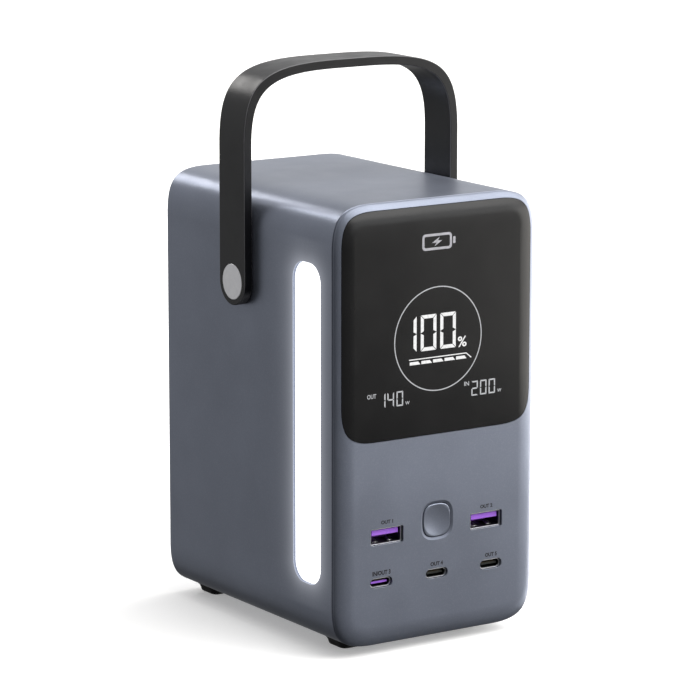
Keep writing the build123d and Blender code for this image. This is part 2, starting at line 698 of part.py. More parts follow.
def board_screws():
    """Small pan-head screws of the display, port and main boards."""
    screws = [board_screw(DISPLAY_BOARD_Y - 1.6, DISPLAY_BOARD_Y + BOARD, *point) for point in DISPLAY_POSTS]
    screws += [board_screw(PORT_BOARD_Y - 4, PORT_BOARD_Y + BOARD, *point) for point in PORT_POSTS]
    screws += [board_screw(RING_Y, MAIN_BOARD_Y + BOARD, *point) for point in MAIN_BOARD_SCREWS]
    return screws


def board_screw(tip_y, head_y, x, z):
    shank = rod_y(SCREW_RADIUS - THREAD_BITE, tip_y, head_y, x, z)
    return shank + rod_y(SCREW_HEAD_RADIUS, head_y, head_y + SCREW_HEAD, x, z)


# Battery pack: four rows of two cells, rows in series, the two cells of a row in parallel

def cell_centres(row):
    z = MID_Z + (row - (CELL_ROWS - 1) / 2) * CELL_PITCH
    return [(y, z) for y in CELL_COLUMNS_Y]


def cell(row, column):
    """Cylindrical cell along X. Its raised pole is at the right in odd rows and at the left in even ones."""
    pole = 1 if row % 2 else -1
    half = CELL_LENGTH / 2
    y, z = cell_centres(row)[column]
    can = rod_x(CELL_RADIUS, -half, half - POLE_HEIGHT, 0, 0)
    can = fillet(can.edges(), CELL_SHOULDER)
    near, far = GROOVE_FROM_POLE
    groove = rod_x(CELL_RADIUS + 1, half - far, half - near, 0, 0)
    groove -= rod_x(CELL_RADIUS - GROOVE_DEPTH, -half, half, 0, 0)
    can = can - groove + rod_x(POLE_RADIUS, half - 2 * POLE_HEIGHT, half, 0, 0)
    return Pos(0, y, z) * (can if pole > 0 else mirrored(can))


def cell_holder():
    """Right-hand holder: a thick plate with a cup for each cell end and a window over each pole."""
    half_z = CELL_PITCH * CELL_ROWS / 2
    y0 = CELL_COLUMNS_Y[0] - CELL_PITCH / 2
    y1 = CELL_COLUMNS_Y[1] + CELL_PITCH / 2
    plate = block(HOLDER_INNER_X, HOLDER_OUTER_X, y0, y1, MID_Z - half_z, MID_Z + half_z)
    plate = chamfer(plate.edges().filter_by(Axis.X), HOLDER_CORNER)
    for row in range(CELL_ROWS):
        for y, z in cell_centres(row):
            plate -= rod_x(CELL_RADIUS + CUP_FIT, HOLDER_INNER_X - 1, CELL_LENGTH / 2 + 0.1, y, z)
            plate -= rod_x(POLE_WINDOW_RADIUS, HOLDER_INNER_X, HOLDER_OUTER_X + 1, y, z)
    return plate


def bus_strip(rows):
    """Right-hand nickel strip over one row or two, pressed in to touch each cell."""
    centres = [point for row in rows for point in cell_centres(row)]
    low = min(z for y, z in centres) - STRIP_REACH
    high = max(z for y, z in centres) + STRIP_REACH
    y0 = CELL_COLUMNS_Y[0] - STRIP_REACH
    y1 = CELL_COLUMNS_Y[1] + STRIP_REACH
    strip = block(HOLDER_OUTER_X, HOLDER_OUTER_X + STRIP_THICKNESS, y0, y1, low, high)
    strip = chamfer(strip.edges().filter_by(Axis.X), STRIP_CORNER)
    for y, z in centres:
        strip += rod_x(STRIP_DIMPLE_RADIUS, CELL_LENGTH / 2, HOLDER_OUTER_X + 0.1, y, z)
    return strip


def bms_board():
    half = BATTERY_BOARD_HALF_WIDTH
    z = PACK_TOP_Z + FOAM_THICKNESS
    board = block(-half, half, *BATTERY_BOARD_Y, z, z + BOARD)
    chip_z = (z + BOARD - 0.1, z + BOARD + BATTERY_CHIP_HEIGHT)
    for x in BATTERY_CHIPS_X:
        board += block(x - BATTERY_CHIP_HALF, x + BATTERY_CHIP_HALF, *BATTERY_CHIP_Y, *chip_z)
    return board


def bms_foam():
    z = (PACK_TOP_Z - 0.3, PACK_TOP_Z + FOAM_THICKNESS)
    return block(-FOAM_HALF_WIDTH, FOAM_HALF_WIDTH, *FOAM_Y, *z)


def battery_lead(x):
    """Wire from the battery board forwards and down to the top of the main board."""
    z = PACK_TOP_Z + FOAM_THICKNESS + BOARD + LEAD_RADIUS
    y = MAIN_BOARD_Y + BOARD + 3
    path = FilletPolyline((x, LEAD_START_Y, z), (x, y, z), (x, y, LEAD_END_Z), radius=LEAD_BEND)
    return sweep(Plane(path @ 0, z_dir=path % 0) * Circle(LEAD_RADIUS), path)


# Feet

def foot(x, y, solid_body):
    """Rubber foot: a flat pad that flares out into the underside of the body."""
    sections = []
    for height, grow in FOOT_PROFILE:
        face = rounded(FOOT_WIDTH + 2 * grow, FOOT_DEPTH + 2 * grow, FOOT_CORNER + grow)
        sections.append(Pos(x, y, height) * face)
    pad = loft(sections, ruled=True) + extrude(sections[-1], 4)
    pad -= solid_body
    pad -= rod_z(SCREW_RADIUS + FIT, -1, FOOT_HEIGHT + 5, x, y)
    return pad - rod_z(FOOT_HEAD_HOLE_RADIUS, -1, FOOT_HEAD_Z[1], x, y)


def foot_screws():
    screws = []
    for x, y in FEET.values():
        shank = rod_z(SCREW_RADIUS, FOOT_HEAD_Z[1], FOOT_HEIGHT + WALL, x, y)
        screws.append(shank + rod_z(FOOT_HEAD_RADIUS, *FOOT_HEAD_Z, x, y))
    return screws


# Handle and its pivots, drawn on the right-hand side

def handle_path(outer_x, top_z, reach_x, reach_z):
    """Right half and left half of the band's line, from the pivot up and over to the other pivot."""
    near_x = reach_x * (1 - HANDLE_FULLNESS)
    near_z = reach_z * (1 - HANDLE_FULLNESS)
    right = [(outer_x, top_z - reach_z), (outer_x, top_z - near_z)]
    right += [(outer_x - near_x, top_z), (outer_x - reach_x, top_z)]
    left = [(-x, z) for x, z in reversed(right)]
    low = PIVOT_Z - HANDLE_WIDTH / 2
    edges = [Line((outer_x, low), right[0]), Bezier(*right), Line(right[-1], left[0])]
    edges += [Bezier(*left), Line(left[-1], (-outer_x, low))]
    return edges


def handle_band():
    t = HANDLE_THICKNESS
    low = PIVOT_Z - HANDLE_WIDTH / 2
    outer = handle_path(HANDLE_OUTER_X, HANDLE_TOP_Z, HANDLE_REACH_X, HANDLE_REACH_Z)
    inner = handle_path(HANDLE_OUTER_X - t, HANDLE_TOP_Z - t, HANDLE_REACH_X - t, HANDLE_REACH_Z - t)
    ends = [Line((s * HANDLE_OUTER_X, low), (s * (HANDLE_OUTER_X - t), low)) for s in (-1, 1)]
    face = Face(Wire(outer + inner + ends))
    y0 = PIVOT_Y - HANDLE_WIDTH / 2
    y1 = PIVOT_Y + HANDLE_WIDTH / 2
    band = slab(face, y0, y1)
    below = block(-HANDLE_OUTER_X - 1, HANDLE_OUTER_X + 1, y0 - 1, y1 + 1, low - 1, PIVOT_Z)
    round_end = rod_x(HANDLE_WIDTH / 2, -HANDLE_OUTER_X - 2, HANDLE_OUTER_X + 2, PIVOT_Y, PIVOT_Z)
    band -= below - round_end
    long_edges = band.edges().filter_by(lambda e: abs(e.tangent_at(0.5).Y) < 0.9 and not is_end_seam(e))
    band = fillet(long_edges, HANDLE_EDGE)
    for side in (-1, 1):
        face_x = side * HANDLE_OUTER_X
        shelf = side * (HANDLE_OUTER_X - CAP_THICKNESS)
        floor = side * (HANDLE_OUTER_X - HANDLE_THICKNESS + BUSH_THICKNESS)
        band -= rod_x(CAP_RADIUS + RUNNING_FIT, face_x + side, shelf, PIVOT_Y, PIVOT_Z)
        band -= rod_x(PIVOT_HEAD_RADIUS + 0.3, shelf, floor, PIVOT_Y, PIVOT_Z)
        band -= rod_x(BUSH_RADIUS, floor, floor - side * 2, PIVOT_Y, PIVOT_Z)
    return band


def is_end_seam(edge):
    """True for the short lines across a leg where its straight part meets its round end."""
    return abs(edge.tangent_at(0.5).X) > 0.99 and abs(edge.center().Z - PIVOT_Z) < 0.01


def pivot_cap():
    cap = rod_x(CAP_RADIUS, HANDLE_OUTER_X - CAP_THICKNESS, HANDLE_OUTER_X, PIVOT_Y, PIVOT_Z)
    edge = cap.edges().filter_by(lambda e: abs(e.center().X - HANDLE_OUTER_X) < 0.01)
    return fillet(edge, CAP_EDGE)


def pivot_bush():
    inner_x = HANDLE_OUTER_X - HANDLE_THICKNESS
    ring = rod_x(BUSH_RADIUS, inner_x, inner_x + BUSH_THICKNESS, PIVOT_Y, PIVOT_Z)
    return ring - rod_x(SHOULDER_RADIUS + RUNNING_FIT, inner_x - 1, inner_x + 2, PIVOT_Y, PIVOT_Z)


def pivot_screw():
    """Shoulder screw: flat head inside the leg, smooth shoulder through leg and wall, thread in the plate."""
    head_x = HANDLE_OUTER_X - HANDLE_THICKNESS + BUSH_THICKNESS + FIT
    head = rod_x(PIVOT_HEAD_RADIUS, head_x, head_x + PIVOT_HEAD, PIVOT_Y, PIVOT_Z)
    shoulder = rod_x(SHOULDER_RADIUS, SIDE_X - WALL, head_x + 0.1, PIVOT_Y, PIVOT_Z)
    thread = rod_x(PIVOT_THREAD_RADIUS, HOLDER_OUTER_X + 0.7, SIDE_X - WALL + 0.1, PIVOT_Y, PIVOT_Z)
    return head + shoulder + thread


def pivot_washer():
    ring = rod_x(WASHER_RADIUS, SIDE_X, SIDE_X + WASHER_THICKNESS, PIVOT_Y, PIVOT_Z)
    return ring - rod_x(SHOULDER_RADIUS + RUNNING_FIT, SIDE_X - 1, SIDE_X + 1, PIVOT_Y, PIVOT_Z)


def pivot_plate():
    x0 = SIDE_X - WALL - PLATE_THICKNESS
    disc = rod_x(PLATE_RADIUS, x0, SIDE_X - WALL, PIVOT_Y, PIVOT_Z)
    return disc - rod_x(PIVOT_THREAD_RADIUS + 0.03, x0 - 1, SIDE_X, PIVOT_Y, PIVOT_Z)


def build_all():
    form = front_form()
    solid_body = slab(body_outline(0), FRONT_Y, REAR_Y)
    save("sleeve", sleeve())
    save("front_panel", front_panel(form))
    save("screen_glass", screen_glass(form))
    save("rear_panel", rear_panel())
    save("inner_frame", inner_frame())
    save("tie_screws", tie_screws())
    save("display_module", display_module())
    save("display_board", display_board())
    save("port_board", port_board())
    for number, x in enumerate((-USB_A_X, USB_A_X), start=1):
        save(f"usb_a_shell_{number}", usb_a_shell(x))
        save(f"usb_a_tongue_{number}", usb_a_tongue(x))
    for number, x in enumerate(USB_C_X, start=1):
        save(f"usb_c_shell_{number}", usb_c_shell(x))
        save(f"usb_c_tongue_{number}", usb_c_tongue(x))
    save("usb_contacts", usb_a_contacts() + usb_c_contacts())
    save("power_button", power_button())
    save("button_pad", button_pad())
    save("button_switch", button_switch())
    save("lamp_lens", lamp_lens())
    save("lamp_carrier", lamp_carrier())
    save("lamp_board", lamp_board())
    save("lamp_leds", lamp_leds())
    save("lamp_screws", lamp_screws())
    save("main_board", main_board())
    save("heatsink", heatsink())
    save("inductors", inductors())
    save("capacitors", capacitors())
    save("board_screws", board_screws())
    for row in range(CELL_ROWS):
        for column in range(len(CELL_COLUMNS_Y)):
            save(f"cell_{row * len(CELL_COLUMNS_Y) + column + 1}", cell(row, column))
    save("cell_holder_right", cell_holder())
    save("cell_holder_left", mirrored(cell_holder()))
    right_strips = [bus_strip(rows) for rows in ((0, 1), (2, 3))]
    left_strips = [mirrored(bus_strip(rows)) for rows in ((0,), (1, 2), (3,))]
    save("bus_strips", right_strips + left_strips)
    save("bms_board", bms_board())
    save("bms_foam", bms_foam())
    save("lead_positive", battery_lead(LEAD_X))
    save("lead_negative", battery_lead(-LEAD_X))
    for name, (x, y) in FEET.items():
        save(name, foot(x, y, solid_body))
    save("foot_screws", foot_screws())
    save("handle_band", handle_band())
    save("pivot_cap_right", pivot_cap())
    save("pivot_cap_left", mirrored(pivot_cap()))
    save("pivot_bushes", both_sides(pivot_bush()))
    save("pivot_screws", both_sides(pivot_screw()))
    save("pivot_washers", both_sides(pivot_washer()))
    save("pivot_plates", both_sides(pivot_plate()))


build_all()
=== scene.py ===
from math import cos, pi, radians, sin

import bmesh
import bpy
from mathutils import Matrix, Vector


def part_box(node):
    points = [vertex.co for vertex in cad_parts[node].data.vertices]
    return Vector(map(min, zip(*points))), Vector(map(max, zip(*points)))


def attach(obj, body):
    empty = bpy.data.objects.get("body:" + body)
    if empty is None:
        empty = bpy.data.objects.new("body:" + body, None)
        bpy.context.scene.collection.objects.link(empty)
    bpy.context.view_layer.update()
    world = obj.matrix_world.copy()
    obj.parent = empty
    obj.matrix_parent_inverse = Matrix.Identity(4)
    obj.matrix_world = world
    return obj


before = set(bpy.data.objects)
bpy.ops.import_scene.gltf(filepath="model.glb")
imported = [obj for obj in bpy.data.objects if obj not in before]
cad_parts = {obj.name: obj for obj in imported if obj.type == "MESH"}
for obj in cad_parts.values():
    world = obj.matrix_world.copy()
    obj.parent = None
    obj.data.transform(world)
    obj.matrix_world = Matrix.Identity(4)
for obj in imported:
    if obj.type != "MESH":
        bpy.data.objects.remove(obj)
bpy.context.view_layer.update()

MM = 0.001

# Places that the frame gives, in metres
SLEEVE_LOW, SLEEVE_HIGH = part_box("sleeve")
MID_Z = (SLEEVE_LOW.z + SLEEVE_HIGH.z) / 2
FRONT_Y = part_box("front_panel")[0].y
CENTRE = Vector((0, 0, MID_Z))
LAMP_LOW, LAMP_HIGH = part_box("lamp_lens")
CAP_LOW, CAP_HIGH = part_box("pivot_cap_left")
PIVOT_Y = (CAP_LOW.y + CAP_HIGH.y) / 2
PIVOT_Z = (CAP_LOW.z + CAP_HIGH.z) / 2
GLASS_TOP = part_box("screen_glass")[1].z
BUTTON_LOW, BUTTON_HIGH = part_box("power_button")
BUTTON_CENTRE = (BUTTON_LOW + BUTTON_HIGH) / 2

# Camera
VIEW_AZIMUTH = radians(-33.619)
VIEW_ELEVATION = radians(11.288)
VIEW_ROLL = radians(-0.063)
VIEW_DISTANCE = 1.31866
VIEW_LENS = 185.67
VIEW_TARGET = Vector((0.00227, 0.00206, MID_Z + 0.01488))

# Light. Each softbox: name, direction from the body's middle, distance, width and height, power, colour
SUN_FROM = (0.45, -0.36, 0.82)
SUN_POWER = 2.7
SUN_WIDTH = radians(70)
SUN_COLOR = (1.0, 0.98, 0.95)
SOFTBOXES = [
    ("streak", (-0.18, 0.82, 0.55), 1.6, (0.85, 0.18), 4.2, (1.0, 0.98, 0.96)),
    ("right_wall", (0.985, -0.174, -0.05), 1.5, (2.65, 1.3), 38, (1.0, 0.97, 0.92)),
    ("left_rear_wall", (-0.55, 0.80, -0.1), 1.6, (1.4, 1.6), 0.95, (0.96, 0.97, 1.0)),
    ("front_box", (0.54, -0.80, 0.46), 1.5, (0.75, 0.85), 3.2, (0.96, 0.98, 1.0)),
]
DOME_BRIGHT_SIDE = Vector((0.75, 0.35, 0.55)).normalized()
DOME_DIM = 0.07
DOME_LIT = 0.85
FLOOR_HALF = 12.0
CARD_HALF_WIDTH = 0.30
CARD_NEAR = -0.45
CARD_FAR = -0.07
CARD_Z = 0.0005

# Colours, linear
PAINT_DEEP = (0.215, 0.238, 0.300)
PAINT_PALE = (0.240, 0.266, 0.335)
PAINT_FLAKE = (0.40, 0.43, 0.52)
GLOW = (0.88, 0.91, 1.0)
PURPLE = (0.44, 0.16, 0.95)

# Lamp: how far its lit outline lies inside the lens's box, the outline's corner, and how the glow painted
# round it on the sleeve fades
LAMP_MARGIN = 0.7
LAMP_CORNER = 7.0
GLOW_FADE = -0.28
GLOW_STRENGTH = 0.20

# Millimetres over which the glass rolls back at its top
GLASS_ROLL = 12.0

# Half width and half height, in millimetres, of the corner-rounded box inside the groove round the button
BUTTON_HALF = (5.8, 6.0)
BUTTON_CORNER = 3.6

# Inside, in millimetres: the X at which a cell's sleeve ends, and the height at which a capacitor's stripe
# starts, counted from the body's middle
CELL_SLEEVE_END = 33.6
CAPACITOR_STRIPE = -31.4

# Flat pieces on the front, in millimetres: x to the right of the middle, z above the body's middle
PROUD = 0.02
SUNK = 0.10
RING_Z = 29.16
RING_RADIUS = 18.5
RING_LINE = 0.38
CHARGE_Z = 25.3
CHARGE_SIZE = (6.65, 12.8)
CHARGE_STROKE = 1.28
CHARGE_GAP = 0.16
CHARGE_RIGHT = (-9.25, -0.82, 7.5)
BAR_LEFT = -12.1
BAR_PITCH = 4.95
BAR_LENGTH = 4.5
BAR_HEIGHT = 1.1
BAR_Z = 20.76
BAR_COUNT = 5
BAR_SLANT = 0.9
TRACK_Z = BAR_Z + BAR_HEIGHT + 0.62
TRACK_LINE = 0.36
TRACK_LEFT = BAR_LEFT - 0.3
TRACK_BEND = 12.0
TRACK_DROP = (2.05, 1.7)
TRACK_TAIL = (0.35, 0.2)
TRACK_SHOULDER = 0.15
PERCENT_BOX = (8.4, 12.2, CHARGE_Z - 0.2, CHARGE_Z + 3.6)
SMALL_Z = 6.85
SMALL_SIZE = (2.8, 5.3)
SMALL_STROKE = 0.5
SMALL_GAP = 0.07
LABEL_WEIGHT = 0.05
SYMBOL_Z = 63.7
SYMBOL_LEFT = -7.0
SYMBOL_RIGHT = 5.6
SYMBOL_HALF_HEIGHT = 2.9
SYMBOL_LINE = 0.9
SYMBOL_CORNERS = (1.3, 0.6)
SYMBOL_TIP = (6.1, 7.1)
SYMBOL_TIP_HALF_HEIGHT = 1.2
SYMBOL_TIP_CORNER = 0.3
BOLT = [(0.4, 1.6), (-2.9, -0.35), (-0.95, -0.35), (-1.8, -1.6), (1.5, 0.35), (-0.45, 0.35)]
READOUTS = [
    ("screen_output", "OUT", (-30.0, -26.2, 10.7, 12.3),
     (("1", -22.3), ("4", -18.7), ("0", -14.85)), (-13.9, -12.1, 7.0, 8.2)),
    ("screen_input", "IN", (11.3, 13.4, 10.8, 12.3),
     (("2", 17.25), ("0", 21.0), ("0", 24.75)), (25.7, 27.5, 7.0, 8.2)),
]
PORT_LABELS = [
    ("port_label_1", "OUT 1", (-24.0, -18.9, -34.8, -33.4)),
    ("port_label_2", "OUT 2", (18.7, 24.1, -34.8, -33.4)),
    ("port_label_3", "IN/OUT 3", (-27.6, -19.9, -53.1, -51.4)),
    ("port_label_4", "OUT 4", (-2.8, 2.6, -53.0, -51.5)),
    ("port_label_5", "OUT 5", (21.0, 26.2, -53.0, -51.5)),
]

# Spring leaves in the larger sockets, in millimetres. The bow and the taper are shares of the length.
LEAF_X = 3.1
LEAF_WIDTH = 2.3
LEAF_THICKNESS = 0.2
LEAF_START = 2.0
LEAF_LENGTH = 5.6
LEAF_RISE = 0.7
LEAF_BOW_END = 0.89
LEAF_BOW_RATE = 1.12
LEAF_BOW_POWER = 1.4
LEAF_TAPER = 0.25
LEAF_STEPS = 16
SHELL_WALL = 0.3


# Camera, light and floor

def add_object(name, data):
    made = bpy.data.objects.new(name, data)
    bpy.context.scene.collection.objects.link(made)
    return made


def add_camera():
    back = Vector((sin(VIEW_AZIMUTH) * cos(VIEW_ELEVATION), -cos(VIEW_AZIMUTH) * cos(VIEW_ELEVATION),
                   sin(VIEW_ELEVATION)))
    right = Vector((cos(VIEW_AZIMUTH), sin(VIEW_AZIMUTH), 0))
    turn = Matrix((right, back.cross(right), back)).transposed() @ Matrix.Rotation(-VIEW_ROLL, 3, "Z")
    data = bpy.data.cameras.new("camera")
    data.lens = VIEW_LENS
    data.sensor_width = 36
    data.clip_end = 50
    camera = add_object("camera", data)
    camera.matrix_world = Matrix.Translation(VIEW_TARGET + back * VIEW_DISTANCE) @ turn.to_4x4()
    bpy.context.scene.camera = camera


def add_softbox(name, direction, distance, size, power, color):
    """Soft rectangular light at a distance from the middle of the body, turned to face it."""
    data = bpy.data.lights.new(name, "AREA")
    data.shape = "RECTANGLE"
    data.size, data.size_y = size
    data.energy = power
    data.color = color
    light = add_object(name, data)
    light.location = CENTRE + Vector(direction).normalized() * distance
    light.rotation_euler = (CENTRE - light.location).to_track_quat("-Z", "Y").to_euler()
    light.visible_camera = False
    return light


def add_sun():
    data = bpy.data.lights.new("overhead", "SUN")
    data.energy = SUN_POWER
    data.color = SUN_COLOR
    data.angle = SUN_WIDTH
    light = add_object("overhead", data)
    light.rotation_euler = (-Vector(SUN_FROM)).to_track_quat("-Z", "Y").to_euler()


def add_world():
    """White behind the object, lit by a dim dome that is brightest at the upper right and dark below."""
    world = bpy.data.worlds.new("studio")
    world.use_nodes = True
    bpy.context.scene.world = world
    nodes, links = world.node_tree.nodes, world.node_tree.links
    dome = nodes["Background"]
    backdrop = nodes.new("ShaderNodeBackground")
    backdrop.inputs["Color"].default_value = (1, 1, 1, 1)
    backdrop.inputs["Strength"].default_value = 1.0
    direction = nodes.new("ShaderNodeTexCoord").outputs["Generated"]
    facing = nodes.new("ShaderNodeVectorMath")
    facing.operation = "DOT_PRODUCT"
    facing.inputs[1].default_value = DOME_BRIGHT_SIDE
    links.new(direction, facing.inputs[0])
    level = nodes.new("ShaderNodeMapRange")
    level.inputs["From Min"].default_value = -1
    level.inputs["To Min"].default_value = DOME_DIM
    level.inputs["To Max"].default_value = DOME_LIT
    links.new(facing.outputs["Value"], level.inputs["Value"])
    height = nodes.new("ShaderNodeSeparateXYZ")
    links.new(direction, height.inputs["Vector"])
    ground = nodes.new("ShaderNodeMapRange")
    ground.interpolation_type = "SMOOTHSTEP"
    ground.inputs["From Min"].default_value = -0.6
    ground.inputs["From Max"].default_value = 0.05
    ground.inputs["To Min"].default_value = 0.3
    links.new(height.outputs["Z"], ground.inputs["Value"])
    strength = nodes.new("ShaderNodeMath")
    strength.operation = "MULTIPLY"
    links.new(level.outputs["Result"], strength.inputs[0])
    links.new(ground.outputs["Result"], strength.inputs[1])
    links.new(strength.outputs["Value"], dome.inputs["Strength"])
    dome.inputs["Color"].default_value = (1.0, 1.0, 1.0, 1)
    seen = nodes.new("ShaderNodeMixShader")
    links.new(nodes.new("ShaderNodeLightPath").outputs["Is Camera Ray"], seen.inputs["Fac"])
    links.new(dome.outputs["Background"], seen.inputs[1])
    links.new(backdrop.outputs["Background"], seen.inputs[2])
    links.new(seen.outputs["Shader"], nodes["World Output"].inputs["Surface"])


def flat_sheet(name, side, near, far, z):
    """Level rectangle, `side` to the left and right of the middle."""
    mesh = bpy.data.meshes.new(name)
    corners = [(-side, near, z), (side, near, z), (side, far, z), (-side, far, z)]
    mesh.from_pydata(corners, [], [(0, 1, 2, 3)])
    return mesh


def add_floor():
    mesh = flat_sheet("floor", FLOOR_HALF, -FLOOR_HALF, FLOOR_HALF, 0)
    finish = Finish("floor", roughness=0.9)
    finish.tint((0.90, 0.90, 0.90), (0.93, 0.93, 0.93), finish.noise(400))
    finish.set("Emission Color", (1.0, 1.0, 1.0))
    finish.set("Emission Strength", 0.3)
    mesh.materials.append(finish.material)
    floor = add_object("floor", mesh)
    floor.visible_diffuse = False
    floor.visible_glossy = False


def add_dark_card():
    """Dark card on the floor in front, unseen by the camera, that deepens the front's low reflections."""
    mesh = flat_sheet("dark_card", CARD_HALF_WIDTH, CARD_NEAR, CARD_FAR, CARD_Z)
    finish = Finish("dark_card", roughness=0.9)
    finish.tint((0.05, 0.05, 0.052), (0.07, 0.07, 0.072), finish.noise(60))
    mesh.materials.append(finish.material)
    card = add_object("dark_card", mesh)
    card.visible_camera = False
    card.visible_shadow = False
    card.visible_diffuse = False


def let_through(light, name):
    """Stop one node from shadowing a light, so that its reflection in the top edge stays whole."""
    blockers = bpy.data.collections.new(f"{light.name}_blockers")
    for other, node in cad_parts.items():
        if other != name:
            blockers.objects.link(node)
    light.light_linking.blocker_collection = blockers


# Materials

class Finish:
    """A Principled material being built. Sizes and places are in millimetres, in the part's own frame."""

    def __init__(self, name, metallic=0.0, roughness=0.5, **sockets):
        self.material = bpy.data.materials.new(name)
        self.material.use_nodes = True
        self.tree = self.material.node_tree
        self.shader = self.tree.nodes["Principled BSDF"]
        self.shader.inputs["Metallic"].default_value = metallic
        self.shader.inputs["Roughness"].default_value = roughness
        for socket, value in sockets.items():
            label = socket.replace("_", " ").title().replace("Ior", "IOR")
            self.shader.inputs[label].default_value = value
        place = self.node("ShaderNodeTexCoord").outputs["Object"]
        scale = self.node("ShaderNodeVectorMath", operation="SCALE")
        scale.inputs["Scale"].default_value = 1 / MM
        self.tree.links.new(place, scale.inputs[0])
        self.place = scale.outputs["Vector"]
        self.xyz = None

    def node(self, kind, **settings):
        made = self.tree.nodes.new(kind)
        for key, value in settings.items():
            setattr(made, key, value)
        return made

    def feed(self, socket, value):
        """Give a socket a constant or another node's output."""
        if isinstance(value, bpy.types.NodeSocket):
            self.tree.links.new(value, socket)
        elif isinstance(value, tuple):
            socket.default_value = (*value, 1)
        else:
            socket.default_value = value

    def math(self, operation, a, b=0.0):
        made = self.node("ShaderNodeMath", operation=operation)
        self.feed(made.inputs[0], a)
        self.feed(made.inputs[1], b)
        return made.outputs["Value"]

    def axis(self, name):
        """One coordinate in millimetres."""
        if self.xyz is None:
            self.xyz = self.node("ShaderNodeSeparateXYZ")
            self.tree.links.new(self.place, self.xyz.inputs["Vector"])
        return self.xyz.outputs[name]

    def noise(self, size, detail=2.0, stretch=(1, 1, 1), seed=0):
        """Noise whose blotches are about `size` across, longer along an axis where stretch is above 1."""
        mapping = self.node("ShaderNodeMapping")
        mapping.inputs["Location"].default_value = (seed * 17.3, seed * 5.1, seed * 9.7)
        mapping.inputs["Scale"].default_value = [1 / (size * s) for s in stretch]
        self.tree.links.new(self.place, mapping.inputs["Vector"])
        made = self.node("ShaderNodeTexNoise")
        made.inputs["Scale"].default_value = 1.0
        made.inputs["Detail"].default_value = detail
        self.tree.links.new(mapping.outputs["Vector"], made.inputs["Vector"])
        return made.outputs["Fac"]

    def ramp(self, value, low, high, out_low=0.0, out_high=1.0):
        made = self.node("ShaderNodeMapRange", interpolation_type="SMOOTHSTEP")
        self.feed(made.inputs["Value"], value)
        limits = {"From Min": low, "From Max": high, "To Min": out_low, "To Max": out_high}
        for socket, number in limits.items():
            made.inputs[socket].default_value = number
        return made.outputs["Result"]

    def mix(self, factor, a, b):
        made = self.node("ShaderNodeMix", data_type="RGBA")
        self.feed(made.inputs[0], factor)
        self.feed(made.inputs[6], a)
        self.feed(made.inputs[7], b)
        return made.outputs[2]

    def set(self, socket, value):
        self.feed(self.shader.inputs[socket], value)

    def tint(self, dark, light, noise):
        """Base colour that drifts between two tones. Returns it, to be painted over."""
        color = self.mix(self.ramp(noise, 0.3, 0.7), dark, light)
        self.set("Base Color", color)
        return color

    def paint_over(self, color, factor, coat):
        """Lay another colour over part of the base colour."""
        over = self.mix(factor, color, coat)
        self.set("Base Color", over)
        return over

    def sheen_range(self, noise, low, high):
        """Roughness that drifts between two values."""
        self.set("Roughness", self.ramp(noise, 0.25, 0.75, low, high))

    def relief(self, height, depth, strength=1.0):
        """Bump of about `depth` millimetres, laid over any bump there is."""
        bump = self.node("ShaderNodeBump")
        bump.inputs["Strength"].default_value = strength
        bump.inputs["Distance"].default_value = depth * MM
        self.feed(bump.inputs["Height"], height)
        before = self.shader.inputs["Normal"]
        if before.is_linked:
            self.tree.links.new(before.links[0].from_socket, bump.inputs["Normal"])
        self.tree.links.new(bump.outputs["Normal"], before)

    def length(self, a, b):
        """Length of the hypotenuse over two sides."""
        squares = self.math("ADD", self.math("MULTIPLY", a, a), self.math("MULTIPLY", b, b))
        return self.math("SQRT", squares)

    def radius(self, a, b, centre_a, centre_b):
        """Distance in millimetres from a line along the third axis."""
        da = self.math("SUBTRACT", self.axis(a), centre_a)
        db = self.math("SUBTRACT", self.axis(b), centre_b)
        return self.length(da, db)

    def outside(self, a, b, low, high, corner):
        """Distance in millimetres outwards from a rounded rectangle in the plane of two axes."""
        spans = []
        for name, start, end in ((a, low[0], high[0]), (b, low[1], high[1])):
            offset = self.math("ABSOLUTE", self.math("SUBTRACT", self.axis(name), (start + end) / 2))
            past = self.math("SUBTRACT", offset, (end - start) / 2 - corner)
            spans.append(self.math("MAXIMUM", past, 0.0))
        return self.math("MAXIMUM", self.math("SUBTRACT", self.length(*spans), corner), 0.0)


def satin_paint(name, seed, low, high):
    """Blue-grey paint with fine metallic flake and a faint orange peel."""
    finish = Finish(name, 0.7, low)
    color = finish.tint(PAINT_DEEP, PAINT_PALE, finish.noise(40, 3, seed=seed))
    flake = finish.noise(0.4, 2, seed=seed + 1)
    color = finish.paint_over(color, finish.ramp(flake, 0.45, 0.80, 0.0, 0.18), PAINT_FLAKE)
    rub = finish.noise(14, 4, seed=seed + 2)
    finish.sheen_range(rub, low, high)
    finish.relief(finish.noise(1.1, 2, seed=seed + 3), 0.004, 0.35)
    return finish, color


def sleeve_paint():
    """The sleeve's paint, with the lamp's glow painted on its outer face as light that the paint gives off.
    """
    finish = satin_paint("sleeve_paint", 1, low=0.33, high=0.38)[0]
    low = (LAMP_LOW.y / MM + LAMP_MARGIN, LAMP_LOW.z / MM + LAMP_MARGIN)
    high = (LAMP_HIGH.y / MM - LAMP_MARGIN, LAMP_HIGH.z / MM - LAMP_MARGIN)
    distance = finish.outside("Y", "Z", low, high, LAMP_CORNER)
    wide = finish.math("EXPONENT", finish.math("MULTIPLY", distance, GLOW_FADE))
    side = SLEEVE_LOW.x / MM
    left = finish.ramp(finish.axis("X"), side + 0.05, side + 0.2, 1.0, 0.0)
    # Painted glow: the sleeve's paint gives off light round the lamp, fading with distance from the lamp's
    # outline
    finish.set("Emission Color", GLOW)
    glow = finish.math("MULTIPLY", wide, left)
    finish.set("Emission Strength", finish.math("MULTIPLY", glow, GLOW_STRENGTH))
    return finish.material


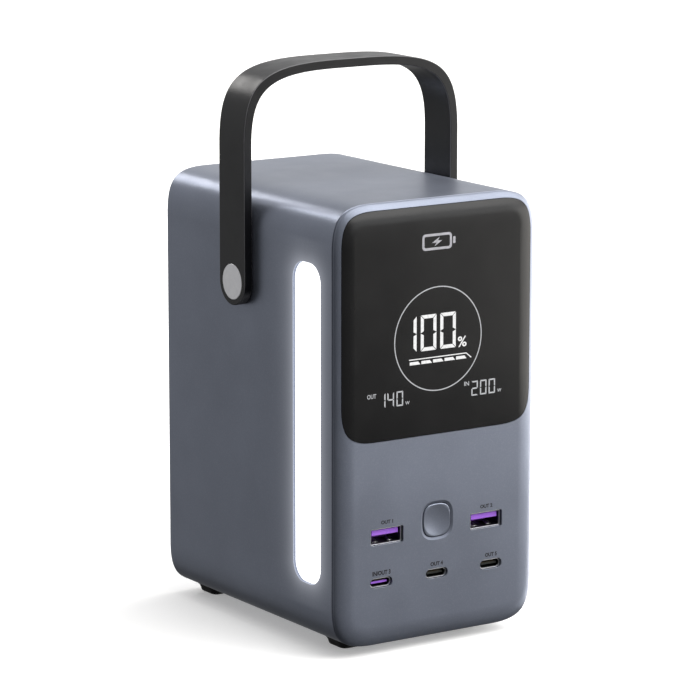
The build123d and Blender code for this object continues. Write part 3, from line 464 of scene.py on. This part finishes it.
def front_paint():
    """The front's paint, rougher and with painted shade in the groove round the power button."""
    finish, color = satin_paint("front_paint", 5, low=0.39, high=0.44)
    x, z = BUTTON_CENTRE.x / MM, BUTTON_CENTRE.z / MM
    low = (x - BUTTON_HALF[0], z - BUTTON_HALF[1])
    high = (x + BUTTON_HALF[0], z + BUTTON_HALF[1])
    groove = finish.ramp(finish.outside("X", "Z", low, high, BUTTON_CORNER), 0.9, 1.25, 1.0, 0.0)
    # Painted shade: the groove round the button is darkened towards a deeper tone of the paint
    finish.paint_over(color, finish.math("MULTIPLY", groove, 0.5), tuple(0.6 * t for t in PAINT_DEEP))
    sheen = finish.shader.inputs["Roughness"].links[0].from_socket
    finish.set("Roughness", finish.math("ADD", sheen, finish.math("MULTIPLY", groove, 0.22)))
    return finish.material


def rear_paint():
    return satin_paint("rear_paint", 9, low=0.40, high=0.48)[0].material


def button_paint():
    return satin_paint("button_paint", 13, low=0.28, high=0.32)[0].material


def glass():
    """Black cover glass with a faint oily bloom that only shows in its sheen."""
    finish = Finish("screen_glass", 0.0, 0.24, specular_ior_level=0.30)
    finish.tint((0.006, 0.006, 0.0065), (0.009, 0.009, 0.0095), finish.noise(25, 3))
    finish.sheen_range(finish.noise(14, 2, seed=2), 0.22, 0.26)
    finish.relief(finish.noise(30, 1, seed=3), 0.01, 0.15)
    above = finish.math("SUBTRACT", finish.axis("Z"), GLASS_TOP / MM - GLASS_ROLL)
    roll = finish.math("MAXIMUM", above, 0.0)
    finish.relief(finish.math("MULTIPLY", finish.math("MULTIPLY", roll, roll), -1.0), 0.010)
    return finish.material


def lit_segments():
    """White light from the display cells, with the cells' fine texture."""
    finish = Finish("lit_segments", 0.0, 0.3)
    finish.tint((0.03, 0.03, 0.03), (0.06, 0.06, 0.06), finish.noise(3))
    finish.set("Emission Color", (1.0, 1.0, 1.0))
    finish.set("Emission Strength", finish.ramp(finish.noise(0.8, 1, seed=2), 0.2, 0.8, 0.76, 0.96))
    return finish.material


def small_segments():
    """Dimmer cells of the small read-outs."""
    finish = Finish("small_segments", 0.0, 0.3)
    finish.tint((0.03, 0.03, 0.03), (0.06, 0.06, 0.06), finish.noise(2))
    finish.set("Emission Color", (0.94, 0.96, 1.0))
    finish.set("Emission Strength", finish.ramp(finish.noise(0.6, 1, seed=4), 0.2, 0.8, 0.44, 0.58))
    return finish.material


def silver_print():
    finish = Finish("silver_print", 0.35, 0.42)
    finish.tint((0.42, 0.42, 0.46), (0.50, 0.50, 0.55), finish.noise(1.2))
    finish.sheen_range(finish.noise(0.7, seed=2), 0.38, 0.5)
    finish.relief(finish.noise(0.2, 1), 0.002, 0.3)
    return finish.material


def dark_print():
    finish = Finish("dark_print", 0.0, 0.55)
    finish.tint((0.012, 0.012, 0.018), (0.022, 0.022, 0.030), finish.noise(0.8))
    finish.sheen_range(finish.noise(0.5, seed=2), 0.5, 0.65)
    finish.relief(finish.noise(0.15, 1), 0.002, 0.3)
    return finish.material


def lamp_diffuser():
    """Glowing opal lens, a touch cooler towards its edge."""
    finish = Finish("lamp_diffuser", 0.0, 0.35)
    finish.tint((0.86, 0.87, 0.88), (0.93, 0.93, 0.94), finish.noise(20))
    low = (LAMP_LOW.y / MM + 3.0, LAMP_LOW.z / MM + 3.0)
    high = (LAMP_HIGH.y / MM - 3.0, LAMP_HIGH.z / MM - 3.0)
    edge = finish.ramp(finish.outside("Y", "Z", low, high, 5.0), 0.0, 3.0)
    finish.set("Emission Color", finish.mix(edge, (1.0, 1.0, 1.0), (0.93, 0.95, 1.0)))
    finish.set("Emission Strength", finish.ramp(edge, 0.0, 1.0, 2.6, 1.1))
    finish.relief(finish.noise(0.3, 1, seed=3), 0.003, 0.4)
    return finish.material


def soft_black(name, seed, tone, low, high, grain, depth):
    """Moulded black with a fine grain, slightly lighter where it has been rubbed."""
    finish = Finish(name, 0.0, low, specular_ior_level=0.3)
    dark, light = (tuple(scale * t for t in tone) for scale in (0.85, 1.15))
    color = finish.tint(dark, light, finish.noise(18, 3, seed=seed))
    rubbed = finish.ramp(finish.noise(4, 5, seed=seed + 1), 0.62, 0.85, 0.0, 0.25)
    color = finish.paint_over(color, rubbed, tuple(2.0 * t for t in tone))
    finish.sheen_range(finish.noise(7, 3, seed=seed + 2), low, high)
    finish.relief(finish.noise(grain, 2, seed=seed + 3), depth, 0.5)
    return finish, color


def handle_black():
    """Soft black with a painted highlight, a lighter colour, along the band's rounded edges."""
    finish, color = soft_black("handle_black", 44, (0.008, 0.0083, 0.0100), 0.28, 0.36, 0.4, 0.004)
    # Painted highlight: the colour is lightened where the normal turns sideways on the band's rounded edges
    normal = finish.node("ShaderNodeSeparateXYZ")
    finish.tree.links.new(finish.node("ShaderNodeTexCoord").outputs["Normal"], normal.inputs["Vector"])
    sideways = finish.math("ABSOLUTE", normal.outputs["Y"])
    rise, fall = finish.ramp(sideways, 0.15, 0.35), finish.ramp(sideways, 0.85, 0.97, 1.0, 0.0)
    edge = finish.math("MULTIPLY", rise, fall)
    finish.paint_over(color, edge, (0.16, 0.16, 0.17))
    return finish.material


def brushed_cap():
    """Satin aluminium turned in fine rings about the pivot."""
    finish = Finish("brushed_cap", 0.65, 0.40)
    distance = finish.radius("Y", "Z", PIVOT_Y / MM, PIVOT_Z / MM)
    rings = finish.math("SINE", finish.math("MULTIPLY", distance, 2 * pi / 0.22))
    color = finish.tint((0.90, 0.90, 0.93), (0.96, 0.96, 0.98), finish.noise(3, 3))
    rim = finish.ramp(distance, 5.9, 6.4, 0.0, 0.35)
    finish.paint_over(color, rim, (0.80, 0.80, 0.83))
    finish.sheen_range(finish.noise(1.5, 3, seed=4), 0.30, 0.40)
    finish.relief(rings, 0.003, 0.35)
    return finish.material


def metal(name, seed, dark, light, low, high, size=0.5, stretch=(1, 1, 1), depth=0.003):
    """Bare or plated metal with drifting tone, fine draw marks and a varying polish."""
    finish = Finish(name, 1.0, low)
    marks = finish.noise(size, 3, stretch, seed + 1)
    color = finish.tint(dark, light, finish.noise(size * 6, 3, seed=seed))
    finish.paint_over(color, finish.ramp(marks, 0.60, 0.85, 0.0, 0.3), tuple(0.6 * t for t in dark))
    finish.sheen_range(marks, low, high)
    finish.relief(marks, depth, 0.4)
    return finish.material


def socket_steel():
    """Pressed steel, bright at the lip of the socket, with painted shade that darkens it further in."""
    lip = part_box("usb_a_shell_1")[0].y / MM
    finish = Finish("socket_steel", 1.0, 0.36)
    marks = finish.noise(0.25, 3, (1, 14, 1), 25)
    color = finish.tint((0.80, 0.80, 0.81), (0.94, 0.94, 0.95), finish.noise(1.5, 3, seed=24))
    # Painted shade: the steel's colour turns almost black deeper inside the socket
    inside = finish.ramp(finish.axis("Y"), lip + 0.2, lip + 1.0, 0.0, 0.92)
    finish.paint_over(color, inside, (0.05, 0.05, 0.055))
    finish.sheen_range(marks, 0.32, 0.44)
    finish.relief(marks, 0.003, 0.4)
    return finish.material


def socket_tongue(name, blade_color, front_reach):
    """A plug's contact tongue: a coloured blade on a black root."""
    finish = Finish(name, 0.0, 0.36)
    pale = tuple(min(1.0, 1.15 * t) for t in blade_color)
    color = finish.tint(blade_color, pale, finish.noise(2.5, 3))
    root = finish.ramp(finish.axis("Y"), front_reach, front_reach + 0.6)
    finish.paint_over(color, root, (0.012, 0.012, 0.013))
    finish.sheen_range(finish.noise(1.0, seed=3), 0.30, 0.42)
    finish.relief(finish.noise(0.12, 1, seed=4), 0.002, 0.4)
    return finish.material


def circuit_board(name, mask_color, seed, up):
    """Solder mask over copper runs, with plated pads in rows. `up` is the axis across the board's face."""
    finish = Finish(name, 0.0, 0.35)
    across = [axis for axis in "XYZ" if axis != up]
    color = finish.tint(tuple(0.85 * t for t in mask_color), mask_color, finish.noise(30, 2, seed=seed))
    runs = []
    for axis in across:
        wave = finish.math("SINE", finish.math("MULTIPLY", finish.axis(axis), 2 * pi / 1.6))
        runs.append(finish.ramp(wave, 0.75, 0.9))
    lanes = finish.ramp(finish.noise(9, 1, seed=seed + 1), 0.47, 0.53)
    copper = finish.math("MAXIMUM", finish.math("MULTIPLY", runs[0], lanes),
                         finish.math("MULTIPLY", runs[1], finish.math("SUBTRACT", 1.0, lanes)))
    run_color = tuple(1.8 * t for t in mask_color)
    color = finish.paint_over(color, finish.math("MULTIPLY", copper, 0.5), run_color)
    pads = finish.math("MULTIPLY", finish.math("MULTIPLY", runs[0], runs[1]),
                       finish.ramp(finish.noise(6, 1, seed=seed + 2), 0.55, 0.58))
    finish.paint_over(color, pads, (0.62, 0.60, 0.52))
    finish.sheen_range(finish.noise(5, seed=seed + 3), 0.28, 0.40)
    finish.relief(copper, 0.03, 0.5)
    return finish.material


def plain_plastic(name, dark, light, seed, low=0.40, high=0.55, grain=0.35, metallic=0.0):
    """Moulded plastic, ceramic or card with a light grain."""
    finish = Finish(name, metallic, low)
    finish.tint(dark, light, finish.noise(12, 3, seed=seed))
    finish.sheen_range(finish.noise(3, 3, seed=seed + 1), low, high)
    finish.relief(finish.noise(grain, 2, seed=seed + 2), 0.006, 0.4)
    return finish.material


def battery_cell():
    """Shrink sleeve over the can, with bare nickel at both ends."""
    finish = Finish("battery_cell", 0.0, 0.35)
    color = finish.tint((0.10, 0.30, 0.24), (0.12, 0.36, 0.28), finish.noise(25, 2))
    end = finish.ramp(finish.math("ABSOLUTE", finish.axis("X")), CELL_SLEEVE_END, CELL_SLEEVE_END + 0.4)
    finish.paint_over(color, end, (0.62, 0.60, 0.56))
    finish.set("Metallic", end)
    finish.sheen_range(finish.noise(6, 3, seed=2), 0.28, 0.42)
    finish.relief(finish.noise(2.5, 3, seed=3), 0.02, 0.4)
    return finish.material


def capacitor_can():
    """Aluminium can in a dark sleeve with one pale stripe."""
    finish = Finish("capacitor_can", 0.2, 0.4)
    color = finish.tint((0.03, 0.035, 0.05), (0.05, 0.055, 0.075), finish.noise(4))
    start = MID_Z / MM + CAPACITOR_STRIPE
    stripe = finish.ramp(finish.axis("Z"), start, start + 0.4)
    finish.paint_over(color, stripe, (0.55, 0.56, 0.58))
    finish.sheen_range(finish.noise(2, seed=2), 0.3, 0.45)
    finish.relief(finish.noise(0.4, 1, seed=3), 0.004, 0.4)
    return finish.material


def dress_nodes():
    """Give every CAD node its finish. A rule covers each node whose name starts with its key."""
    blade_end_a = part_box("usb_a_tongue_1")[1].y / MM - 2.3
    blade_end_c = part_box("usb_c_tongue_1")[1].y / MM - 2.3
    screw = metal("screw_steel", 20, (0.42, 0.42, 0.43), (0.52, 0.52, 0.54), 0.25, 0.4, 0.3)
    shell = socket_steel()
    board = circuit_board("circuit_board", (0.010, 0.055, 0.030), 30, "Y")
    display_black = soft_black("display_black", 64, (0.012, 0.012, 0.013), 0.3, 0.4, 0.5, 0.004)[0].material
    fins = metal("fin_aluminium", 76, (0.58, 0.58, 0.60), (0.70, 0.70, 0.72), 0.35, 0.5, 0.4, (1, 1, 12))
    bush = plain_plastic("bush_plastic", (0.50, 0.49, 0.46), (0.58, 0.57, 0.54), 84, 0.3, 0.45)
    washer = plain_plastic("washer_plastic", (0.02, 0.02, 0.02), (0.04, 0.04, 0.04), 86, 0.3, 0.45)
    rubber = soft_black("foot_rubber", 40, (0.020, 0.020, 0.021), 0.62, 0.78, 0.35, 0.012)[0].material
    lead_red = plain_plastic("lead_red", (0.45, 0.02, 0.02), (0.55, 0.03, 0.03), 50)
    lead_black = plain_plastic("lead_black", (0.015, 0.015, 0.016), (0.03, 0.03, 0.03), 52)
    frame_plastic = plain_plastic("frame_plastic", (0.10, 0.10, 0.11), (0.14, 0.14, 0.15), 54)
    purple_a = socket_tongue("usb_a_tongue_purple", PURPLE, blade_end_a)
    nickel = metal("nickel_strip", 60, (0.55, 0.53, 0.50), (0.66, 0.64, 0.60), 0.3, 0.45, 0.6)
    rules = {
        "sleeve": sleeve_paint(),
        "front_panel": front_paint(),
        "rear_panel": rear_paint(),
        "power_button": button_paint(),
        "screen_glass": glass(),
        "inner_frame": frame_plastic,
        "tie_screws": metal("tie_screw_black", 62, (0.10, 0.10, 0.11), (0.16, 0.16, 0.17), 0.3, 0.45, 0.3),
        "display_module": display_black,
        "display_board": board,
        "port_board": board,
        "main_board": board,
        "bms_board": circuit_board("battery_board", (0.008, 0.030, 0.065), 34, "Z"),
        "lamp_board": circuit_board("lamp_board", (0.66, 0.67, 0.66), 36, "X"),
        "usb_a_shell": shell,
        "usb_c_shell": shell,
        "usb_a_tongue": purple_a,
        "usb_c_tongue_1": socket_tongue("usb_c_tongue_purple", PURPLE, blade_end_c),
        "usb_c_tongue_2": socket_tongue("usb_c_tongue_black", (0.020, 0.024, 0.021), blade_end_c),
        "usb_c_tongue_3": socket_tongue("usb_c_tongue_black_3", (0.020, 0.024, 0.021), blade_end_c),
        "usb_contacts": metal("contact_gold", 66, (0.20, 0.16, 0.10), (0.28, 0.22, 0.14), 0.3, 0.42, 0.2),
        "button_pad": plain_plastic("silicone", (0.55, 0.55, 0.54), (0.62, 0.62, 0.61), 68, 0.5, 0.65),
        "button_switch": plain_plastic("switch_black", (0.02, 0.02, 0.02), (0.035, 0.035, 0.035), 70),
        "lamp_lens": lamp_diffuser(),
        "lamp_carrier": plain_plastic("lamp_tray_white", (0.78, 0.78, 0.77), (0.85, 0.85, 0.84), 72),
        "lamp_leds": plain_plastic("led_chip", (0.80, 0.62, 0.18), (0.88, 0.72, 0.26), 74, 0.25, 0.4, 0.2),
        "lamp_screws": screw,
        "board_screws": screw,
        "foot_screws": screw,
        "pivot_screws": screw,
        "heatsink": fins,
        "inductors": plain_plastic("ferrite", (0.05, 0.05, 0.055), (0.09, 0.09, 0.095), 78, 0.5, 0.7, 0.5),
        "capacitors": capacitor_can(),
        "cell_": battery_cell(),
        "cell_holder": plain_plastic("holder_plastic", (0.05, 0.05, 0.055), (0.08, 0.08, 0.085), 80),
        "bus_strips": nickel,
        "bms_foam": plain_plastic("foam", (0.10, 0.10, 0.105), (0.16, 0.16, 0.165), 82, 0.8, 0.95, 0.9),
        "lead_positive": lead_red,
        "lead_negative": lead_black,
        "foot_": rubber,
        "handle_band": handle_black(),
        "pivot_cap": brushed_cap(),
        "pivot_bushes": bush,
        "pivot_washers": washer,
        "pivot_plates": metal("plate_steel", 88, (0.48, 0.48, 0.50), (0.60, 0.60, 0.62), 0.3, 0.45, 0.4),
    }
    for name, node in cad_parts.items():
        key = max((rule for rule in rules if name.startswith(rule)), key=len)
        for place in node.material_slots:
            place.material = rules[key]
    return screw


# Pieces

def new_piece(name, mesh_source, material, body="housing"):
    """Turn a bmesh into a piece that rides on a body."""
    bmesh.ops.remove_doubles(mesh_source, verts=mesh_source.verts, dist=1e-7)
    bmesh.ops.recalc_face_normals(mesh_source, faces=mesh_source.faces)
    mesh = bpy.data.meshes.new(name)
    mesh_source.to_mesh(mesh)
    mesh_source.free()
    mesh.materials.append(material)
    piece = add_object(name, mesh)
    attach(piece, body)
    return piece


def on_front(x, z, out=PROUD):
    """A point on the front face, `out` millimetres proud of it."""
    return Vector((x * MM, FRONT_Y - out * MM, MID_Z + z * MM))


def add_tile(bm, outline):
    """Thin tile with any outline, set a little into the face."""
    front = [bm.verts.new(on_front(x, z)) for x, z in outline]
    back = [bm.verts.new(on_front(x, z, -SUNK)) for x, z in outline]
    bm.faces.new(front)
    bm.faces.new(list(reversed(back)))
    for i in range(len(outline)):
        j = (i + 1) % len(outline)
        bm.faces.new((front[i], back[i], back[j], front[j]))


def add_ring(bm, outer, inner):
    """Thin band between two outlines with the same number of points."""
    loops = [[bm.verts.new(on_front(x, z, out)) for x, z in line] for line, out in
             ((outer, PROUD), (inner, PROUD), (inner, -SUNK), (outer, -SUNK))]
    count = len(outer)
    for i in range(count):
        j = (i + 1) % count
        for a, b in zip(loops, loops[1:] + loops[:1]):
            bm.faces.new((a[i], a[j], b[j], b[i]))


def circle(x, z, radius, count=128):
    turns = [2 * pi * i / count for i in range(count)]
    return [(x + radius * cos(turn), z + radius * sin(turn)) for turn in turns]


def segment_outlines(width, height, stroke, gap):
    """Outlines of the seven segments of a digit, from its lower left corner, with mitred ends."""
    w, h, s, g = width, height, stroke, gap
    half = h / 2
    top = [(g, h), (w - g, h), (w - s - g, h - s), (s + g, h - s)]
    right_up = [(w, h - g), (w, half + g / 2), (w - s, half + g / 2 + s / 2), (w - s, h - s - g)]
    right_low = [(x, h - z) for x, z in right_up]
    middle = [(g + s / 2, half), (s + g, half + s / 2), (w - s - g, half + s / 2), (w - g - s / 2, half)]
    middle += [(w - s - g, half - s / 2), (s + g, half - s / 2)]
    return {
        "a": top,
        "b": right_up,
        "c": right_low,
        "d": [(x, h - z) for x, z in top],
        "e": [(w - x, z) for x, z in right_low],
        "f": [(w - x, z) for x, z in right_up],
        "g": middle,
    }


LIT = {"0": "abcdef", "1": "bc", "2": "abged", "4": "fgbc"}


def add_digit(bm, digit, x, z, width, height, stroke, gap):
    outlines = segment_outlines(width, height, stroke, gap)
    for segment in LIT[digit]:
        add_tile(bm, [(x + dx, z + dz) for dx, dz in outlines[segment]])


def add_words(bm, text, x0, x1, z0, z1, weight=0.012):
    """Plain lettering stretched to a box on the front."""
    curve = bpy.data.curves.new("words", "FONT")
    curve.body = text
    curve.resolution_u = 3
    curve.offset = weight
    curve.extrude = 0.1
    holder = bpy.data.objects.new("words", curve)
    mesh = bpy.data.meshes.new_from_object(holder)
    xs = [v.co.x for v in mesh.vertices]
    ys = [v.co.y for v in mesh.vertices]
    for v in mesh.vertices:
        x = x0 + (v.co.x - min(xs)) / (max(xs) - min(xs)) * (x1 - x0)
        z = z0 + (v.co.y - min(ys)) / (max(ys) - min(ys)) * (z1 - z0)
        v.co = on_front(x, z, PROUD if v.co.z > 0 else -SUNK)
    bm.from_mesh(mesh)
    bpy.data.objects.remove(holder)


def add_screen_marks():
    """The charge read-out in its ring, and the output and input read-outs below it."""
    white, dim, silver = lit_segments(), small_segments(), silver_print()

    bm = bmesh.new()
    outer, inner = (circle(0, RING_Z, RING_RADIUS + step) for step in (RING_LINE / 2, -RING_LINE / 2))
    add_ring(bm, outer, inner)
    new_piece("screen_ring", bm, dim)

    bm = bmesh.new()
    for digit, right in zip("100", CHARGE_RIGHT):
        add_digit(bm, digit, right - CHARGE_SIZE[0], CHARGE_Z, *CHARGE_SIZE, CHARGE_STROKE, CHARGE_GAP)
    add_words(bm, "%", *PERCENT_BOX)
    new_piece("screen_charge", bm, white)

    bm = bmesh.new()
    for index in range(BAR_COUNT):
        x = BAR_LEFT + index * BAR_PITCH
        top = BAR_Z + BAR_HEIGHT
        add_tile(bm, [(x, BAR_Z), (x + BAR_LENGTH, BAR_Z), (x + BAR_LENGTH - BAR_SLANT, top), (x, top)])
    end_x, end_z = TRACK_BEND + TRACK_DROP[0], TRACK_Z - TRACK_DROP[1]
    over = TRACK_Z + TRACK_LINE
    add_tile(bm, [(TRACK_LEFT, TRACK_Z), (TRACK_BEND, TRACK_Z), (end_x, end_z),
                  (end_x + TRACK_TAIL[0], end_z + TRACK_TAIL[1]), (TRACK_BEND + TRACK_SHOULDER, over),
                  (TRACK_LEFT, over)])
    new_piece("screen_bars", bm, white)

    for name, word, word_box, digits, unit_box in READOUTS:
        bm = bmesh.new()
        add_words(bm, word, *word_box)
        for digit, right in digits:
            add_digit(bm, digit, right - SMALL_SIZE[0], SMALL_Z, *SMALL_SIZE, SMALL_STROKE, SMALL_GAP)
        add_words(bm, "W", *unit_box)
        new_piece(name, bm, dim)

    bm = bmesh.new()
    left, right, half = SYMBOL_LEFT, SYMBOL_RIGHT, SYMBOL_HALF_HEIGHT
    outer = rounded_box(left, right, SYMBOL_Z - half, SYMBOL_Z + half, SYMBOL_CORNERS[0])
    left, right, half = left + SYMBOL_LINE, right - SYMBOL_LINE, half - SYMBOL_LINE
    inner = rounded_box(left, right, SYMBOL_Z - half, SYMBOL_Z + half, SYMBOL_CORNERS[1])
    add_ring(bm, outer, inner)
    half = SYMBOL_TIP_HALF_HEIGHT
    add_tile(bm, rounded_box(*SYMBOL_TIP, SYMBOL_Z - half, SYMBOL_Z + half, SYMBOL_TIP_CORNER))
    add_tile(bm, [(x, SYMBOL_Z + z) for x, z in BOLT])
    new_piece("screen_symbol", bm, silver)


def rounded_box(x0, x1, z0, z1, radius, steps=6):
    """Rectangle with round corners, anticlockwise."""
    points = []
    for cx, cz, start in ((x1 - radius, z1 - radius, 0), (x0 + radius, z1 - radius, 90),
                          (x0 + radius, z0 + radius, 180), (x1 - radius, z0 + radius, 270)):
        for step in range(steps + 1):
            angle = radians(start + 90 * step / steps)
            points.append((cx + radius * cos(angle), cz + radius * sin(angle)))
    return points


def add_port_labels():
    ink = dark_print()
    for name, text, box in PORT_LABELS:
        bm = bmesh.new()
        add_words(bm, text, *box, LABEL_WEIGHT)
        new_piece(name, bm, ink)


def add_spring_leaf(name, shell, x, material):
    """Bowed strip of sprung steel that rises from the socket's floor and grips the plug."""
    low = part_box(shell)[0]
    floor_z = low.z / MM + SHELL_WALL
    bm = bmesh.new()
    rows = []
    for step in range(LEAF_STEPS + 1):
        t = step / LEAF_STEPS
        y = low.y / MM + LEAF_START + LEAF_LENGTH * t
        rise = 0.0
        if t < LEAF_BOW_END:
            rise = LEAF_RISE * sin(pi * min(1.0, t * LEAF_BOW_RATE)) ** LEAF_BOW_POWER
        half = LEAF_WIDTH / 2 * (1 - LEAF_TAPER * t)
        corners = ((x - half, 0), (x + half, 0), (x + half, LEAF_THICKNESS), (x - half, LEAF_THICKNESS))
        rows.append([bm.verts.new(Vector((px, y, floor_z + rise + up)) * MM) for px, up in corners])
    for a, b in zip(rows, rows[1:]):
        for i in range(4):
            j = (i + 1) % 4
            bm.faces.new((a[i], a[j], b[j], b[i]))
    bm.faces.new(list(reversed(rows[0])))
    bm.faces.new(rows[-1])
    piece = new_piece(name, bm, material)
    for face in piece.data.polygons:
        face.use_smooth = abs(face.normal.x) < 0.5
    return piece


def add_spring_leaves(material):
    for socket in (1, 2):
        low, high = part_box(f"usb_a_shell_{socket}")
        middle = (low.x + high.x) / 2 / MM
        for side, offset in (("left", -LEAF_X), ("right", LEAF_X)):
            name = f"usb_a_spring_{socket}_{side}"
            add_spring_leaf(name, f"usb_a_shell_{socket}", middle + offset, material)


add_camera()
add_world()
add_sun()
softboxes = {row[0]: add_softbox(*row) for row in SOFTBOXES}
add_floor()
add_dark_card()
let_through(softboxes["streak"], "handle_band")
bpy.context.scene.view_settings.view_transform = "Standard"
spring_steel = dress_nodes()
add_screen_marks()
add_port_labels()
add_spring_leaves(spring_steel)
